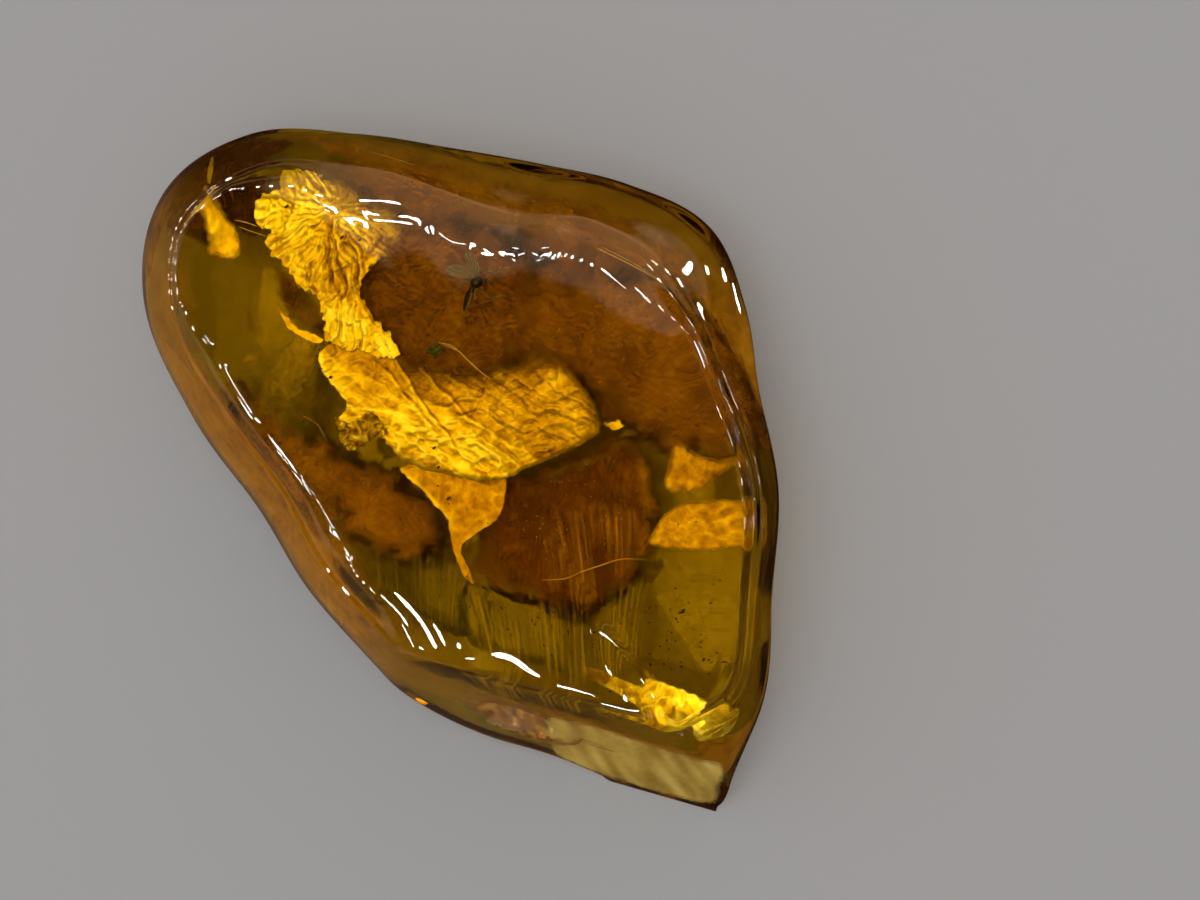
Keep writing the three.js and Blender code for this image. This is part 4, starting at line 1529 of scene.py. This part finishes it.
def build_fibres():
    """Plant hairs and threads caught in the resin."""
    gold = grain_material("gold_thread", (0.75, 0.42, 0.06), (1.0, 0.8, 0.3), 0.35)
    hairs = Rods()
    for stations in (
        [(2.1, -7.1, 6.6, 0.012), (3.2, -7.05, 6.7, 0.02), (4.6, -6.6, 6.8, 0.03),
         (5.6, -6.35, 6.8, 0.022), (6.8, -6.4, 6.7, 0.01)],
        [(-2.9, 3.7, 7.9, 0.02), (-2.2, 3.5, 8.0, 0.03), (-1.5, 2.9, 8.0, 0.03),
         (-0.8, 2.3, 7.9, 0.028), (-0.4, 2.05, 7.8, 0.012)],
        [(-2.7, 3.6, 7.8, 0.012), (-2.0, 3.3, 7.8, 0.018), (-1.35, 2.7, 7.8, 0.018),
         (-0.6, 2.15, 7.8, 0.01)],
        [(-13.0, 9.7, 7.0, 0.014), (-12.5, 9.6, 7.0, 0.022), (-11.9, 9.4, 7.0, 0.012)],
        [(-12.8, 9.4, 7.0, 0.012), (-12.1, 9.15, 7.0, 0.02), (-11.3, 8.9, 7.0, 0.012)],
        [(-6.9, 12.7, 7.0, 0.01), (-5.9, 12.35, 7.0, 0.018), (-4.7, 11.9, 7.0, 0.008)],
        [(4.2, 7.6, 7.2, 0.012), (5.6, 6.9, 7.2, 0.02), (6.9, 6.1, 7.1, 0.02),
         (7.5, 5.3, 7.0, 0.018), (7.9, 4.4, 6.9, 0.01)],
        [(4.5, 7.6, 7.2, 0.01), (5.9, 6.9, 7.2, 0.014), (7.1, 6.1, 7.1, 0.014), (7.7, 5.3, 7.0, 0.008)],
        [(-9.6, 0.6, 6.0, 0.008), (-8.9, 0.2, 6.0, 0.014), (-8.4, -0.6, 6.0, 0.008)],
    ):
        hairs.rod(stations, 7, 8)
    settle(hairs.build("resin_threads"), gold)
    green = chitin_material("plant_scrap", (0.02, 0.025, 0.008), (0.16, 0.17, 0.05), 0.5)
    scrap = Rods()
    for k in range(7):
        turn = k * 2.4
        scrap.bead(-3.1 + 0.3 * math.cos(turn), 3.35 + 0.2 * math.sin(turn), 7.5 + 0.04 * k,
                   (0.2 - 0.015 * k, 0.1, 0.07), 40 * k, 7, 10)
    scrap.bead(-3.1, 3.35, 7.6, (0.3, 0.17, 0.12), 20, 8, 12)
    settle(scrap.build("plant_scrap"), green)


BUBBLE_PATCH = [(3.6, 3.6), (4.2, 4.2), (5.1, 4.3), (5.9, 3.9), (6.0, 3.2), (5.3, 2.6), (4.3, 2.8)]
DISC_PATCH = [(-0.6, -2.8), (2.4, -2.0), (5.4, -1.2), (6.3, -3.0), (5.6, -5.6), (2.6, -6.4), (-0.8, -6.2)]
OLIVE_PATCH = [(-4.6, -7.2), (0.5, -8.4), (6.4, -8.6), (10.0, -6.6), (10.4, -11.8), (2.0, -10.6)]
WHOLE_PATCH = [
    (-13.4, 9.0), (-10.0, 11.6), (-2.0, 9.6), (5.0, 8.0), (8.6, 3.0), (9.4, -6.0), (9.4, -11.4),
    (1.0, -9.6), (-6.0, -4.4), (-11.0, 2.2),
]
FACET_PATCH = [(5.8, -16.2), (10.6, -17.4), (10.8, -16.6), (6.2, -15.4)]


def patch_area(patch):
    """Square millimetres inside a patch's corners."""
    corners = np.array(patch)
    after = np.roll(corners, -1, axis=0)
    return abs((corners[:, 0] * after[:, 1] - after[:, 0] * corners[:, 1]).sum()) / 2


def build_grains():
    """Bubbles, flecks, specks and crumbs."""
    bubble = bubble_material()
    dark = grain_material("dark_speck", (0.02, 0.01, 0.004), (0.10, 0.04, 0.01), 0.6)
    bright = grain_material("bright_speck", (0.8, 0.5, 0.08), (1.0, 0.9, 0.5), 0.3, 0.7)
    pale = grain_material("pale_crumb", (0.5, 0.42, 0.28), (0.9, 0.85, 0.7), 0.7)
    for name, patch, height, material, count, *sizes in (
        ("bubble_cluster", BUBBLE_PATCH, 6.3, bubble, 42, 0.07, 0.17, 1.0, 0.5, 3, 3),
        ("disc_bubbles", DISC_PATCH, 5.2, bubble, 40, 0.03, 0.1, 0.9, 0.8, 4, 3),
        ("disc_flecks", DISC_PATCH, 5.2, bright, 60, 0.015, 0.04, 0.6, 0.8, 5, 2),
        ("olive_specks", OLIVE_PATCH, 4.6, dark, 170, 0.02, 0.085, 0.6, 2.5, 6, 2),
        ("dark_specks", WHOLE_PATCH, 5.6, dark, 130, 0.015, 0.06, 0.7, 3.2, 7, 2),
        ("bright_flecks", WHOLE_PATCH, 5.6, bright, 90, 0.01, 0.03, 0.6, 3.2, 8, 2),
    ):
        density = count / (patch_area(patch) * MM * MM)
        settle(strew(name, patch, height, material, density, *sizes), None)
    lone = Rods()
    lone.bead(6.35, 3.75, 6.6, (0.16, 0.16, 0.16), 0, 14, 20)
    lone.bead(7.8, 3.1, 6.4, (0.07, 0.06, 0.06), 0, 8, 12)
    settle(lone.build("lone_bubbles"), bubble)
    large = Rods()
    for x, y, z, size, turn in (
        (-10.5, 10.1, 7.7, 0.1, 10), (-7.8, 8.6, 7.7, 0.09, 40), (8.4, -8.8, 6.6, 0.12, 60),
        (10.0, -12.4, 6.8, 0.1, 0), (5.3, -12.3, 7.0, 0.07, 30), (9.3, 4.5, 6.4, 0.09, 80),
        (-8.1, 2.4, 7.2, 0.08, 0), (-3.1, -1.1, 7.2, 0.09, 20), (-2.9, -2.0, 7.2, 0.08, 50),
        (2.3, -1.3, 7.2, 0.08, 0), (-2.6, -3.4, 6.0, 0.1, 30), (-7.0, 8.4, 7.7, 0.07, 20),
    ):
        large.bead(x, y, z, (size, 0.7 * size, 0.6 * size), turn, 6, 9)
        large.bead(x + 0.5 * size, y + 0.4 * size, z + 0.3 * size, (0.6 * size, 0.5 * size, 0.5 * size),
                   turn + 50, 5, 8)
    settle(large.build("dark_grains"), dark)
    crumbs = strew("pale_crumbs", FACET_PATCH, 2.2, pale, 5e6, 0.03, 0.09, 0.6, 0.4, 9, 2)
    settle(crumbs, None)


def main():
    SCENE.view_settings.view_transform = "Standard"
    build_camera()
    stone = build_nugget()
    settle(stone, amber_material())
    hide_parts("amber_nugget")
    build_flakes()
    build_clouds()
    build_broken_end()
    build_rim_glow()
    tuck_inside(("facet_haze", "chip_crust", "break_flow", "flake_end_strip", "rim_glow"), stone)
    build_gnat()
    build_fibres()
    build_grains()
    build_floor()
    build_lights(stone)
    build_world()


main()
